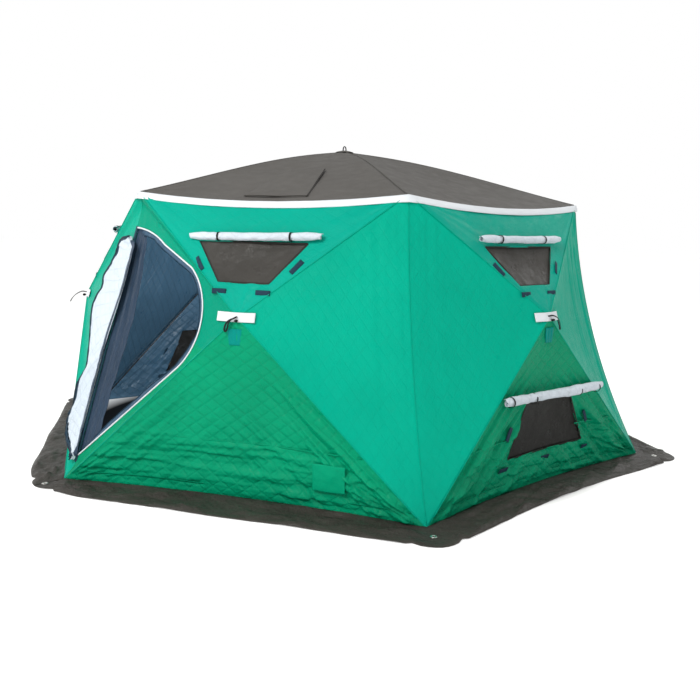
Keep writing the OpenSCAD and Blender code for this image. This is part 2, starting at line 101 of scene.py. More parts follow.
@dataclass(frozen=True)
class Shell:
    """The lines that the fabric is stretched on, in a wall's own frame, where the wall faces +X.

    The radii and heights come from the CAD panels of wall 2, which faces +X in the shelter's frame too.
    """

    base_r: float = 2 * float(node_box("lower_panel_2")[1][1])
    eave_r: float = 2 * float(node_box("upper_panel_2")[1][1])
    eave_h: float = float(node_box("upper_panel_2")[1][2])
    hub_r: float = float(node_box("upper_panel_2")[1][0])
    hub_h: float = float(node_box("lower_panel_2")[1][2])
    peak_h: float = 2.030
    eave_sag: float = 0.056
    base_bow: float = 0.070
    seam_sag: float = 0.092
    door_seam_sag: float = 0.045
    seam_ends: float = 0.05
    ridge_rise: float = 0.035
    middle: tuple[float, float, float] = (0.0, 0.0, 0.9)

    @property
    def hub(self) -> Array:
        """The wall's hub, where its four triangles meet."""
        return np.array([self.hub_r, 0.0, self.hub_h])

    def eave_corner(self, side: int) -> Array:
        """The eave's corner on the wall's left (-1) or right (1)."""
        return polar(self.eave_r, side * HALF_TURN, self.eave_h)

    def base_corner(self, side: int) -> Array:
        """The wall's corner on the ground on its left (-1) or right (1)."""
        return polar(self.base_r, side * HALF_TURN, 0.0)

    @property
    def eave_down(self) -> Array:
        """The way down the upper panel from the eave to the hub."""
        return unit(self.hub - (self.eave_corner(-1) + self.eave_corner(1)) / 2)

    def eave(self, t: Array) -> Array:
        """The eave's edge from left (0) to right (1)."""
        line = mix(self.eave_corner(-1), self.eave_corner(1), t)
        return line + self.eave_down * (self.eave_sag * bump(t))[..., None]

    def base(self, t: Array) -> Array:
        """The edge on the ground from left (0) to right (1)."""
        line = mix(self.base_corner(-1), self.base_corner(1), t)
        return line - np.array([self.base_bow, 0, 0]) * bump(t)[..., None]

    def seam(self, side: int, t: Array, is_door: bool = False) -> Array:
        """A corner's seam from the eave (0) down to the ground (1).

        Args:
            side: The left (-1) or the right (1) corner of the wall.
            t: Shares down the seam.
            is_door: Whether it is the seam that the door turns on.

        Returns:
            The seam's points.
        """
        pull = self.seam_sag * bump(t)
        if is_door:
            pull = self.door_seam_sag * ease(np.minimum(t, 1 - t) / self.seam_ends)
        inward = -polar(1.0, side * HALF_TURN, 0.0)
        return mix(self.eave_corner(side), self.base_corner(side), t) + inward * pull[..., None]

    def ridge(self, side: int, t: Array) -> Array:
        """A roof rod's line from the peak (0) to the eave's corner (1)."""
        rise = self.ridge_rise * np.sin(math.pi * (1 - t) ** 1.4)
        line = mix(np.array([0.0, 0.0, self.peak_h]), self.eave_corner(side), t)
        return line + np.array([0.0, 0.0, 1.0]) * rise[..., None]

    def roof(self, across: Array, down: Array) -> Array:
        """A point of the roof's sector, across from left to right and down from the peak to the eave."""
        left, right = self.ridge(-1, down), self.ridge(1, down)
        sag = self.eave_sag * down * down * bump(across)
        return left + (right - left) * across[..., None] + self.eave_down * sag[..., None]

    def outward(self, points: Array) -> Array:
        """The way out of the shelter at each point."""
        return unit(points - np.array(self.middle))


SHELL = Shell()


def wall_angle(wall: int) -> float:
    """The way that a wall from 1 to 6 faces, in radians."""
    return math.radians(FIRST_WALL + WALL_STEP * (wall - 1))


def corner_angle(corner: int) -> float:
    """The way that a corner from 1 to 6 points, in radians."""
    return math.radians(FIRST_CORNER + WALL_STEP * (corner - 1))


def turned(points: Array, angle: float) -> Array:
    """Points turned about the shelter's upright middle line."""
    c, s = math.cos(angle), math.sin(angle)
    x, y, z = points[..., 0], points[..., 1], points[..., 2]
    return np.stack([x * c - y * s, x * s + y * c, z], axis=-1)


def to_wall(points: Array, wall: int) -> Array:
    """Points in a wall's frame, turned into the shelter's."""
    return turned(points, wall_angle(wall))


def walls_round(around: Array) -> tuple[Array, Array]:
    """The wall, from 0, and the share across it, at a share of the way round the shelter."""
    wall = np.minimum((around * WALLS).astype(int), WALLS - 1)
    return wall, around * WALLS - wall


def path_length(path: Array) -> float:
    """A path's length."""
    return float(np.linalg.norm(np.diff(path, axis=0), axis=1).sum())


# ---------------------------------------------------------------- folds and quilting


class Noise:
    """Smooth seeded noise from a small table, for folds that are the same in each run."""

    SIZE = 64

    def __init__(self, seed: int) -> None:
        """Fill the table.

        Args:
            seed: The number that the table grows from.
        """
        self.table = np.random.default_rng(seed).random((self.SIZE, self.SIZE)) * 2 - 1

    def at(self, x: Array, y: Array) -> Array:
        """Noise from -1 to 1.

        Args:
            x: Places along the table's first side, in cells.
            y: Places along its second side, in cells.

        Returns:
            One value for each place.
        """
        i, j = np.floor(x).astype(int), np.floor(y).astype(int)
        u, v = ease(x - i), ease(y - j)
        n = self.SIZE
        a, b = self.table[i % n, j % n], self.table[(i + 1) % n, j % n]
        c, d = self.table[i % n, (j + 1) % n], self.table[(i + 1) % n, (j + 1) % n]
        return (a + (b - a) * u) * (1 - v) + (c + (d - c) * u) * v

    def layers(self, x: Array, y: Array, count: int = 3) -> Array:
        """Noise of several sizes, each half the size and half the height of the one before."""
        total, share = np.zeros_like(x), 1.0
        for k in range(count):
            total += share * self.at(x * 2**k + 7.3 * k, y * 2**k + 3.1 * k)
            share /= 2
        return total


def pull_folds(noise: Noise, x: Array, y: Array, tip: tuple[float, float], reach: float, count: float) -> Array:
    """Folds that fan out from a corner where the cloth is pulled.

    Args:
        noise: What makes the folds uneven.
        x: Places across the cloth, in metres.
        y: Places up the cloth, in metres.
        tip: The corner that pulls, in the same plane.
        reach: How far the folds run before they fade, in metres.
        count: How many folds a radian holds.

    Returns:
        A height from about -1 to 1 at each place.
    """
    dx, dy = x - tip[0], y - tip[1]
    far = np.hypot(dx, dy)
    angle = np.arctan2(dy, dx)
    wave = noise.at(angle * count + 20, far * 1.1 + 5)
    sharp = np.sign(wave) * np.abs(wave) ** 0.8
    return sharp * np.exp(-far / reach) * np.minimum(far / 0.12, 1)


def rod_folds(noise: Noise, x: Array, y: Array, reach: float, height: float) -> Array:
    """Folds that lie beside the rod which runs from the hub down to the right corner.

    Args:
        noise: What makes the folds uneven.
        x: Places across the cloth, in metres from the hub.
        y: Places down the cloth, in metres from the hub.
        reach: How far across the corner is.
        height: How far down the corner is.

    Returns:
        A height from about -1 to 1 at each place, strongest low beside the rod.
    """
    length = math.hypot(reach, height)
    beside = (y * reach - x * height) / length
    down = (x * reach + y * height) / length
    wave = noise.at(beside * 26 + 0.9 * down, down * 1.2 + 2) + 0.5 * noise.at(beside * 52, down * 2.0)
    return wave * np.exp(-((beside / 0.50) ** 2)) * ease((down - 0.12) / 0.7)


def quilt(x: Array, y: Array, pitch: float, rise: float = 0.9) -> Array:
    """The puff of diamond quilting: 0 on the stitch lines and 1 in the middle of a diamond."""
    a, b = (x + y * rise) / pitch, (x - y * rise) / pitch
    near = np.minimum(np.abs(np.sin(math.pi * a)), np.abs(np.sin(math.pi * b)))
    return near**0.55


# ---------------------------------------------------------------- meshes


def link(name: str, mesh: bpy.types.Mesh) -> bpy.types.Object:
    """Put a mesh into the scene as an object at the origin."""
    piece = bpy.data.objects.new(name, mesh)
    bpy.context.scene.collection.objects.link(piece)
    return piece


def mesh_from(bm: bmesh.types.BMesh, name: str, smooth: bool = True) -> bpy.types.Mesh:
    """Turn a finished bmesh into a mesh and free it.

    Args:
        bm: The finished bmesh.
        name: The mesh's name.
        smooth: Whether its faces are shaded smooth.

    Returns:
        The mesh.
    """
    mesh = bpy.data.meshes.new(name)
    bm.to_mesh(mesh)
    bm.free()
    mesh.shade_smooth() if smooth else mesh.shade_flat()
    return mesh


def sheet_bmesh(columns: int, rows: int, place: Place, metric: Place | None = None) -> bmesh.types.BMesh:
    """A rectangular grid laid on a surface.

    Args:
        columns: Cells across.
        rows: Cells along.
        place: Gives the points from shares across and along, each from 0 to 1.
        metric: Gives the cloth's flat coordinates in metres for the UV map, or None for the shares.

    Returns:
        The grid, with a UV map named cloth, and its closed poles merged.
    """
    bm = bmesh.new()
    uv = bm.loops.layers.uv.new("cloth")
    bmesh.ops.create_grid(bm, x_segments=columns, y_segments=rows, size=0.5)
    bm.verts.ensure_lookup_table()
    flat = np.array([v.co for v in bm.verts]) + 0.5
    across, along = flat[:, 0], flat[:, 1]
    points = place(across, along)
    chart = flat[:, :2] if metric is None else metric(across, along)
    for v, p in zip(bm.verts, points):
        v.co = p
    for face in bm.faces:
        for loop in face.loops:
            loop[uv].uv = chart[loop.vert.index][:2]
    return bm


def close_poles(bm: bmesh.types.BMesh, distance: float = 2e-5) -> None:
    """Merge points that lie on each other, as at a fan's tip."""
    bmesh.ops.remove_doubles(bm, verts=bm.verts, dist=distance)


def face_out(bm: bmesh.types.BMesh, middle: Sequence[float] = SHELL.middle) -> None:
    """Turn an open sheet's faces away from a point inside it.

    Args:
        bm: The sheet.
        middle: The point.
    """
    bm.normal_update()
    centre = Vector(middle)
    total = sum(f.normal.dot(f.calc_center_median() - centre) * f.calc_area() for f in bm.faces)
    if total < 0:
        bmesh.ops.reverse_faces(bm, faces=bm.faces)


def face_along(bm: bmesh.types.BMesh, way: Array) -> None:
    """Turn an open sheet's faces the way that is given."""
    if sum((f.normal for f in bm.faces), Vector()).dot(Vector(way)) < 0:
        bmesh.ops.reverse_faces(bm, faces=bm.faces)


def turn_to_wall(bm: bmesh.types.BMesh, wall: int) -> None:
    """Turn a sheet made in a wall's own frame into the shelter's."""
    bmesh.ops.rotate(bm, verts=bm.verts, cent=(0, 0, 0), matrix=Matrix.Rotation(wall_angle(wall), 3, "Z"))


def empty_sheet() -> bmesh.types.BMesh:
    """An empty bmesh with the cloth's UV map, to join sheets into."""
    whole = bmesh.new()
    whole.loops.layers.uv.new("cloth")
    return whole


def join(whole: bmesh.types.BMesh, part: bmesh.types.BMesh) -> None:
    """Add one bmesh to another and free it."""
    spare = bpy.data.meshes.new("spare")
    part.to_mesh(spare)
    part.free()
    whole.from_mesh(spare)
    bpy.data.meshes.remove(spare)


def thicken(piece: bpy.types.Object, thickness: float, inner_slot: int = 0) -> None:
    """Give a sheet a thickness inwards, with its own slot on the inside.

    Args:
        piece: The sheet.
        thickness: Its thickness in metres.
        inner_slot: How many slots further the inner face's finish is.
    """
    solid = piece.modifiers.new("thickness", "SOLIDIFY")
    solid.thickness = thickness
    solid.offset = -1
    solid.material_offset = inner_slot
    solid.use_even_offset = False


def dress(piece: bpy.types.Object, *materials: bpy.types.Material) -> None:
    """Give a piece its materials, in the order of its slots."""
    for material in materials:
        piece.data.materials.append(material)


@dataclass
class Maker:
    """Puts finished pieces on their bodies and reports them."""

    count: int = 0

    def keep(self, piece: bpy.types.Object, body: str, stands_for: Sequence[str] = ()) -> bpy.types.Object:
        """Ride a piece on a body, hide the CAD nodes that it stands for and log it.

        Args:
            piece: The finished piece.
            body: The CAD body that it moves with.
            stands_for: CAD nodes that it replaces.

        Returns:
            The piece.
        """
        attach(piece, body)
        if stands_for:
            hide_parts(*stands_for)
        self.count += 1
        LOG.info("%s on %s, %d faces", piece.name, body, len(piece.data.polygons) if piece.type == "MESH" else 0)
        return piece


MAKER = Maker()


# ---------------------------------------------------------------- finishes

Colour = tuple[float, float, float]


def srgb(red: int, green: int, blue: int) -> Colour:
    """A colour given as 0 to 255 on a screen, as linear light."""

    def one(c: float) -> float:
        """One channel."""
        return c / 12.92 if c <= 0.04045 else ((c + 0.055) / 1.055) ** 2.4

    return one(red / 255), one(green / 255), one(blue / 255)


class Chart(Enum):
    """Which coordinates a pattern follows."""

    CLOTH = "cloth"
    SPACE = "space"


class Nodes:
    """A short way to write a material's nodes."""

    def __init__(self, name: str) -> None:
        """Start a material with one shader.

        Args:
            name: The material's name.
        """
        self.material = bpy.data.materials.new(name)
        self.material.use_nodes = True
        self.tree = self.material.node_tree
        self.shader = self.tree.nodes["Principled BSDF"]

    def add(self, kind: str, **settings: object) -> bpy.types.Node:
        """Add a node and set its properties."""
        node = self.tree.nodes.new(kind)
        for key, value in settings.items():
            setattr(node, key, value)
        return node

    def join(self, source: bpy.types.NodeSocket, target: bpy.types.NodeSocket) -> None:
        """Link an output to an input."""
        self.tree.links.new(source, target)

    def math(self, operation: str, first: object, second: object = 0.0) -> bpy.types.NodeSocket:
        """A sum on two sockets or numbers.

        Args:
            operation: Blender's name for the sum.
            first: A socket or a number.
            second: A socket or a number.

        Returns:
            The result's socket.
        """
        node = self.add("ShaderNodeMath", operation=operation)
        for socket, value in zip(node.inputs, (first, second)):
            if isinstance(value, bpy.types.NodeSocket):
                self.join(value, socket)
            else:
                socket.default_value = value
        return node.outputs[0]

    def chart(self, chart: Chart) -> bpy.types.NodeSocket:
        """The coordinates that a pattern follows, in metres."""
        if chart is Chart.CLOTH:
            return self.add("ShaderNodeUVMap", uv_map="cloth").outputs["UV"]
        return self.add("ShaderNodeTexCoord").outputs["Object"]

    def noise(self, where: bpy.types.NodeSocket, scale: float, detail: float = 3.0) -> bpy.types.NodeSocket:
        """Soft noise from 0 to 1."""
        node = self.add("ShaderNodeTexNoise")
        self.join(where, node.inputs["Vector"])
        node.inputs["Scale"].default_value = scale
        node.inputs["Detail"].default_value = detail
        return node.outputs["Fac"]

    def ramp(self, value: bpy.types.NodeSocket, stops: Sequence[tuple[float, Colour]]) -> bpy.types.NodeSocket:
        """A colour for each value.

        Args:
            value: The values, from 0 to 1.
            stops: Values, each with its colour.

        Returns:
            The colour's socket.
        """
        node = self.add("ShaderNodeValToRGB")
        self.join(value, node.inputs["Fac"])
        elements = node.color_ramp.elements
        while len(elements) < len(stops):
            elements.new(0.5)
        for element, (place, colour) in zip(elements, stops):
            element.position = place
            element.color = (*colour, 1.0)
        return node.outputs["Color"]

    def rough(self, value: bpy.types.NodeSocket, middle: float, spread: float) -> None:
        """Let the roughness vary about its middle with a pattern."""
        stops = [(0.3, (middle - spread,) * 3), (0.7, (middle + spread,) * 3)]
        self.join(self.ramp(value, stops), self.shader.inputs["Roughness"])

    def bump(self, height: bpy.types.NodeSocket, distance: float, under: object = None) -> bpy.types.NodeSocket:
        """A bump, on top of another one if there is one.

        Args:
            height: The pattern of heights.
            distance: What a height of 1 stands for, in metres.
            under: The bump below it, or None.

        Returns:
            The normal's socket.
        """
        node = self.add("ShaderNodeBump")
        node.inputs["Distance"].default_value = distance
        node.inputs["Strength"].default_value = 1.0
        self.join(height, node.inputs["Height"])
        if under is not None:
            self.join(under, node.inputs["Normal"])
        return node.outputs["Normal"]


@dataclass(frozen=True)
class Cloth:
    """A woven, coated cloth, with quilting where it has some, and painted shade along its stitch lines."""

    name: str
    colour: Colour
    shade: float = 0.86
    roughness: float = 0.5
    specular: float = 0.22
    weave: float = 0.00025
    quilt_pitch: float = 0.0
    quilt_rise: float = 0.9
    quilt_line: float = 0.10
    quilt_depth: float = 0.0015
    line_shade: float = 0.82
    crease: float = 0.0012
    crease_scale: float = 9.0

    def quilting(self, nodes: Nodes, where: bpy.types.NodeSocket) -> bpy.types.NodeSocket:
        """How near each place is to a stitch line: 0 on the line, 1 away from it.

        Args:
            nodes: The material that the pattern belongs to.
            where: The cloth's coordinates.

        Returns:
            The pattern's socket.
        """
        apart = nodes.add("ShaderNodeSeparateXYZ")
        nodes.join(where, apart.inputs[0])
        lines = []
        for side in (self.quilt_rise, -self.quilt_rise):
            along = nodes.math("MULTIPLY", apart.outputs["Y"], side)
            total = nodes.math("ADD", apart.outputs["X"], along)
            turn = nodes.math("MULTIPLY", total, math.pi / self.quilt_pitch)
            lines.append(nodes.math("ABSOLUTE", nodes.math("SINE", turn)))
        near = nodes.math("MINIMUM", *lines)
        scaled = nodes.math("DIVIDE", near, self.quilt_line * 3)
        return nodes.math("MINIMUM", scaled, 1.0)

    def build(self) -> bpy.types.Material:
        """Make the material."""
        nodes = Nodes(self.name)
        cloth, space = nodes.chart(Chart.CLOTH), nodes.chart(Chart.SPACE)
        mottle = nodes.noise(space, 2.3, 4.0)
        low = tuple(c * self.shade for c in self.colour)
        high = tuple(min(c * (2 - self.shade), 1.0) for c in self.colour)
        colour = nodes.ramp(mottle, [(0.3, low), (0.7, high)])
        normal = nodes.bump(nodes.noise(space, self.crease_scale, 5.0), self.crease * 6)
        if self.quilt_pitch:
            away = self.quilting(nodes, cloth)
            # Painted shade: the colour is darkened to line_shade along the stitch lines, where the quilting dips.
            blend = nodes.add("ShaderNodeMix", data_type="RGBA", blend_type="MULTIPLY")
            blend.inputs["Factor"].default_value = 1.0
            nodes.join(colour, blend.inputs[6])
            dark = (self.line_shade,) * 3
            nodes.join(nodes.ramp(away, [(0.0, dark), (1.0, (1.0, 1.0, 1.0))]), blend.inputs[7])
            colour = blend.outputs[2]
            normal = nodes.bump(away, self.quilt_depth, normal)
        weave = nodes.add("ShaderNodeTexBrick")
        weave.inputs["Scale"].default_value = 260.0
        nodes.join(cloth, weave.inputs["Vector"])
        normal = nodes.bump(weave.outputs["Fac"], self.weave, normal)
        nodes.join(colour, nodes.shader.inputs["Base Color"])
        nodes.join(normal, nodes.shader.inputs["Normal"])
        nodes.rough(nodes.noise(space, 14.0), self.roughness, 0.07)
        nodes.shader.inputs["Specular IOR Level"].default_value = self.specular
        return nodes.material


@dataclass(frozen=True)
class Hard:
    """Moulded plastic, fibreglass or plated metal."""

    name: str
    colour: Colour
    roughness: float = 0.4
    metallic: float = 0.0
    grain: float = 60.0
    depth: float = 0.0004

    def build(self) -> bpy.types.Material:
        """Make the material."""
        nodes = Nodes(self.name)
        space = nodes.chart(Chart.SPACE)
        speck = nodes.noise(space, self.grain, 6.0)
        low = tuple(c * 0.8 for c in self.colour)
        nodes.join(nodes.ramp(speck, [(0.3, low), (0.7, self.colour)]), nodes.shader.inputs["Base Color"])
        nodes.rough(speck, self.roughness, 0.06)
        nodes.join(nodes.bump(speck, self.depth), nodes.shader.inputs["Normal"])
        nodes.shader.inputs["Metallic"].default_value = self.metallic
        return nodes.material


class Finishes:
    """Every finish on the shelter, made once."""

    def __init__(self) -> None:
        """Make the materials."""
        fine = {"quilt_pitch": 0.098, "quilt_rise": 1.4}
        taut = {**fine, "quilt_depth": 0.0006, "line_shade": 0.97, "specular": 0.05}
        plain = {"roughness": 0.4, "specular": 0.06, "shade": 0.92}
        net = {"roughness": 0.32, "shade": 0.85, "crease": 0.003, "crease_scale": 5}
        self.taut = Cloth("taut_green", srgb(0, 157, 130), roughness=0.34, shade=0.95, **taut).build()
        self.window_green = Cloth("window_green", srgb(0, 150, 129), roughness=0.36, shade=0.95, **taut).build()
        # Painted shade: the lower panels are the same cloth as the upper ones; their darker, greener colour is painted
        # shade for their upright, less lit faces. The quilting is real.
        self.quilted = Cloth("quilted_green_painted_shade", srgb(0, 138, 99), quilt_depth=0.0017, line_shade=0.95, quilt_line=0.16,
                             roughness=0.34, specular=0.07, shade=0.9, **fine).build()
        # Painted shade: the door's surround is the same cloth as the corner panels; its darker colour is painted
        # shade.
        self.surround = Cloth("surround_green_painted_shade", srgb(0, 136, 108), roughness=0.34, shade=0.93, **taut).build()
        self.cover = Cloth("cover_green", srgb(0, 142, 104), **plain).build()
        self.pleat = Cloth("pleated_teal", srgb(0, 128, 118), **plain).build()
        self.roof = Cloth("roof_charcoal", srgb(84, 82, 79), roughness=0.6, specular=0.12, shade=0.94,
                          crease=0.0006).build()
        self.roof_line = Cloth("roof_piping", srgb(44, 42, 40), roughness=0.6, specular=0.1).build()
        self.skirt = Cloth("skirt_grey", srgb(58, 55, 51), roughness=0.36, specular=0.16, crease=0.006,
                           crease_scale=8).build()
        self.lining = Cloth("slate_lining", srgb(74, 108, 132), roughness=0.34, specular=0.3, quilt_depth=0.003,
                            line_shade=0.85, **fine).build()
        self.roof_lining = Cloth("dark_lining", srgb(30, 36, 44), roughness=0.6, specular=0.1, line_shade=0.85,
                                 **fine).build()
        self.pale = Cloth("pale_lining", srgb(196, 207, 217), roughness=0.4, specular=0.2, quilt_depth=0.002,
                          line_shade=0.93, shade=0.95, **fine).build()
        self.roll = Cloth("rolled_cover", srgb(198, 206, 214), roughness=0.5, specular=0.15, shade=0.95,
                          crease=0.0022, crease_scale=26, quilt_depth=0.0014, line_shade=0.93, **fine).build()
        self.tape = Cloth("pale_tape", srgb(212, 216, 220), roughness=0.55, specular=0.15, shade=0.96).build()
        self.navy = Cloth("navy_binding", srgb(28, 52, 68), roughness=0.55, specular=0.12).build()
        self.zip = Cloth("slate_zip_band", srgb(60, 84, 106), roughness=0.4, specular=0.2).build()
        self.facing = Cloth("navy_facing", srgb(40, 58, 78), roughness=0.34, specular=0.3, crease=0.002).build()
        self.webbing = Cloth("black_webbing", srgb(20, 20, 22), roughness=0.7, weave=0.0006).build()
        self.screen = Cloth("grey_screen", srgb(62, 60, 57), specular=0.12, **net).build()
        self.dark_screen = Cloth("dark_screen", srgb(30, 29, 27), specular=0.1, **net).build()
        self.plastic = Hard("black_plastic", srgb(30, 31, 33), roughness=0.45).build()
        self.rod = Hard("black_fibreglass", srgb(22, 22, 24), roughness=0.3, grain=200).build()
        self.metal = Hard("plated_eyelet", srgb(205, 205, 200), roughness=0.28, metallic=1.0, grain=300,
                          depth=0.0001).build()


# ---------------------------------------------------------------- places on a wall's face


def upper_at(y: Array, z: Array) -> Array:
    """Points of the flat upper panel at a distance across and a height."""
    down = SHELL.eave_down
    run = (z - SHELL.hub_h) / -down[2]
    x = SHELL.hub_r - down[0] * run
    return np.stack([x, y, z], axis=-1)


def lower_at(y: Array, z: Array) -> Array:
    """Points of the dished lower panel at a distance across and a height."""
    share = (SHELL.hub_h - z) / SHELL.hub_h
    t = np.clip(0.5 + y / np.maximum(share * SHELL.base_r, 1e-6), 0, 1)
    x = SHELL.hub_r + share * (SHELL.base(t)[..., 0] - SHELL.hub_r)
    return np.stack([x, y, z], axis=-1)


def near_hub(y: Array, z: Array) -> Array:
    """Points of the blunt pyramid round a wall's hub.

    Args:
        y: Distances across.
        z: Heights.

    Returns:
        The points, in the wall's frame.
    """
    top, low = SHELL.eave_corner(1) - SHELL.hub, SHELL.base_corner(1) - SHELL.hub
    side = np.linalg.solve(np.array([[top[1], top[2]], [low[1], low[2]]]), np.array([-top[0], -low[0]]))
    rise = z - SHELL.hub_h
    planes = [-top[0] / top[2] * rise, side[0] * np.abs(y) + side[1] * rise, -low[0] / low[2] * rise]
    return np.stack([SHELL.hub_r - np.maximum.reduce(planes), y, z], axis=-1)


def raised(points: Array, height: object) -> Array:
    """Points moved out of the shelter by a height in metres."""
    return points + SHELL.outward(points) * np.asarray(height)[..., None]


def wall_run(points: Array, wall: int) -> Run:
    """A path on a wall and the way out along it, turned from the wall's frame into the shelter's."""
    return to_wall(points, wall), to_wall(SHELL.outward(points), wall)


@dataclass(frozen=True)
class Window:
    """A four-sided window, wider at one edge than at the other."""

    top_w: float
    top_h: float
    low_w: float
    low_h: float
    shift: float = 0.0

    def half_width(self, up: Array) -> Array:
        """Half the width at a share of the height."""
        return self.low_w + (self.top_w - self.low_w) * up

    def at(self, across: Array, up: Array, grow: object = 0.0) -> tuple[Array, Array]:
        """The distance across and the height of a place in the window, grown by a margin."""
        y = self.shift + (across * 2 - 1) * (self.half_width(up) + grow)
        z = self.low_h - grow + (self.top_h - self.low_h + 2 * np.asarray(grow)) * up
        return y, z

    def cut(self, bm: bmesh.types.BMesh) -> None:
        """Cut the window through a wall's sheet.

        Args:
            bm: The sheet, in the wall's own frame.
        """
        lean = (self.top_w - self.low_w) / (self.top_h - self.low_h)
        planes = [((0, 0, self.top_h), (0, 0, 1)), ((0, 0, self.low_h), (0, 0, 1))]
        for side in (-1, 1):
            planes.append(((0, self.shift + side * self.low_w, self.low_h), (0, side, -lean)))
        for place, normal in planes:
            geometry = bm.verts[:] + bm.edges[:] + bm.faces[:]
            bmesh.ops.bisect_plane(bm, geom=geometry, plane_co=place, plane_no=normal, dist=1e-6)
        inside = []
        for face in bm.faces:
            centre = face.calc_center_median()
            up = (centre.z - self.low_h) / (self.top_h - self.low_h)
            if 0 < up < 1 and abs(centre.y - self.shift) < self.low_w + (self.top_w - self.low_w) * up:
                inside.append(face)
        bmesh.ops.delete(bm, geom=inside, context="FACES")


UPPER_WINDOW = Window(0.325, 1.400, 0.150, 1.184, -0.014)
LOWER_WINDOW = Window(0.215, 0.534, 0.380, 0.211, 0.045)
LOWER_WINDOW_WALLS = (2, 5)


# ---------------------------------------------------------------- wall and roof panels


@dataclass
class WallPanels:
    """The green fabric: an upper and a lower triangle on each wall, and two halves at each corner."""

    finishes: Finishes
    thickness: float = 0.004
    quilt_pitch: float = 0.098
    quilt_rise: float = 1.4
    puff: float = 0.0022
    hem: float = 0.060
    upper_h: float = 0.79
    upper_window_run: float = 0.25
    lower_h: float = 1.008
    lower_seam: float = 0.32
    lower_window_run: float = 0.32
    corner_w: float = 1.76
    corner_h: float = 0.94
    body: str = "shelter"

    def edge_mask(self, t: Array, b: Array, width: float, height: float, soft: float = 0.05) -> Array:
        """How free a fan's cloth is to leave its plane: 0 on its seams and 1 away from them."""
        side = b * width * np.minimum(t, 1 - t)
        end = (1 - b) * height
        return ease(np.minimum(side, end) / soft)

    def fan(self, curve: Callable[[Array], Array], cells: tuple[int, int], relief: Place, width: float,
            height: float) -> bmesh.types.BMesh:
        """A triangle of cloth from a hub to a curve, in the wall's own frame.

        Args:
            curve: The edge opposite the hub.
            cells: Cells along the curve and from the hub to it.
            relief: Height above the plain shape, from flat coordinates in metres.
            width: The curve's length.
            height: The distance from the hub to the curve.

        Returns:
            The sheet.
        """

        def chart(t: Array, b: Array) -> Array:
            """Flat coordinates in metres, with the hub at the origin."""
            return np.stack([(t - 0.5) * b * width, b * height], axis=-1)

        def place(t: Array, b: Array) -> Array:
            """The cloth's points."""
            plain = SHELL.hub + (curve(t) - SHELL.hub) * b[..., None]
            flat = chart(t, b)
            height_here = relief(flat[..., 0], flat[..., 1]) * self.edge_mask(t, b, width, height)
            return raised(plain, height_here)

        bm = sheet_bmesh(cells[0], cells[1], place, chart)
        close_poles(bm)
        face_out(bm)
        return bm

    def finish(self, bm: bmesh.types.BMesh, name: str, wall: int, outside: bpy.types.Material,
               stands_for: Sequence[str]) -> None:
        """Turn a wall's sheet into place, give it its thickness and its finishes, and keep it.

        Args:
            bm: The sheet, in the wall's own frame.
            name: The piece's name.
            wall: The wall, from 1 to 6.
            outside: The outer face's finish.
            stands_for: CAD nodes that it replaces.
        """
        turn_to_wall(bm, wall)
        piece = link(name, mesh_from(bm, name))
        dress(piece, outside, self.finishes.lining)
        thicken(piece, self.thickness, 1)
        MAKER.keep(piece, self.body, stands_for)

    def upper(self, wall: int) -> None:
        """The taut triangle above a hub, with its window."""
        noise = Noise(100 + wall)
        width, height = SHELL.eave_r, self.upper_h

        def relief(x: Array, y: Array) -> Array:
            """Faint quilting and a few pulled folds."""
            folds = 0.0035 * noise.layers(x * 3.1 + 9, y * 2.3 + 4)
            folds += 0.004 * pull_folds(noise, x, y, (0.0, 0.0), 0.25, 5)
            for side in (-1, 1):
                folds += 0.007 * pull_folds(noise, x, y, (side * width / 2, height), 0.35, 12)
            return folds + 0.0005 * quilt(x, y, self.quilt_pitch, self.quilt_rise)

        bm = self.fan(SHELL.eave, (84, 60), relief, width, height)
        UPPER_WINDOW.cut(bm)
        self.finish(bm, f"upper_cloth_{wall}", wall, self.finishes.window_green,
                    [f"upper_panel_{wall}"])

    def lower(self, wall: int) -> None:
        """The quilted triangle below a hub, with a hem along the ground and a seam across."""
        noise = Noise(200 + wall)
        width, height = SHELL.base_r, self.lower_h
        seam = height - self.lower_seam

        def relief(x: Array, y: Array) -> Array:
            """Quilting, wrinkles along the ground and folds from the lower corners."""
            low = ease((y - 0.60) / 0.15)
            seen = 1.0 if wall < 3 else 0.5
            folds = seen * 0.014 * low * noise.layers(x * 2.2 + 11, y * 27 + 3)
            folds += 0.0035 * noise.layers(x * 3 + 4, y * 3 + 7)
            for side in (-1, 1):
                folds += seen * 0.020 * pull_folds(noise, x, y, (side * width / 2, height), 0.45, 24)
                deep = 0.026 if side > 0 or wall == 2 else 0.010
                folds += deep * seen * rod_folds(noise, x * side, y, width / 2, height)
            folds += 0.004 * pull_folds(noise, x, y, (0.0, 0.0), 0.3, 5)
            hem = -0.0025 * np.exp(-(((y - height + self.hem) / 0.006) ** 2))
            across = -0.0025 * np.exp(-(((y - seam) / 0.006) ** 2))
            return folds + hem + across + self.puff * quilt(x, y, self.quilt_pitch, self.quilt_rise)

        bm = self.fan(SHELL.base, (250, 130) if wall < 3 else (150, 80), relief, width, height)
        area = width * height / 2
        if wall in LOWER_WINDOW_WALLS:
            LOWER_WINDOW.cut(bm)
            area -= (LOWER_WINDOW.top_w + LOWER_WINDOW.low_w) * self.lower_window_run
        self.finish(bm, f"lower_cloth_{wall}", wall, self.finishes.quilted,
                    [f"lower_panel_{wall}"])

    def half_corner(self, wall: int, side: int, is_door: bool) -> bmesh.types.BMesh:
        """The half of a corner that hangs from a wall's hub, in that wall's frame.

        Args:
            wall: The wall, from 1 to 6.
            side: Its left (-1) or right (1) side.
            is_door: Whether the corner is the door's.

        Returns:
            The half's sheet.
        """
        corner = wall if side < 0 else wall % WALLS + 1
        noise = Noise(300 + 10 * corner + side)
        width, height = self.corner_w, self.corner_h

        def curve(t: Array) -> Array:
            """The corner's seam, from left to right as seen from the hub."""
            return SHELL.seam(side, t if side < 0 else 1 - t, is_door)

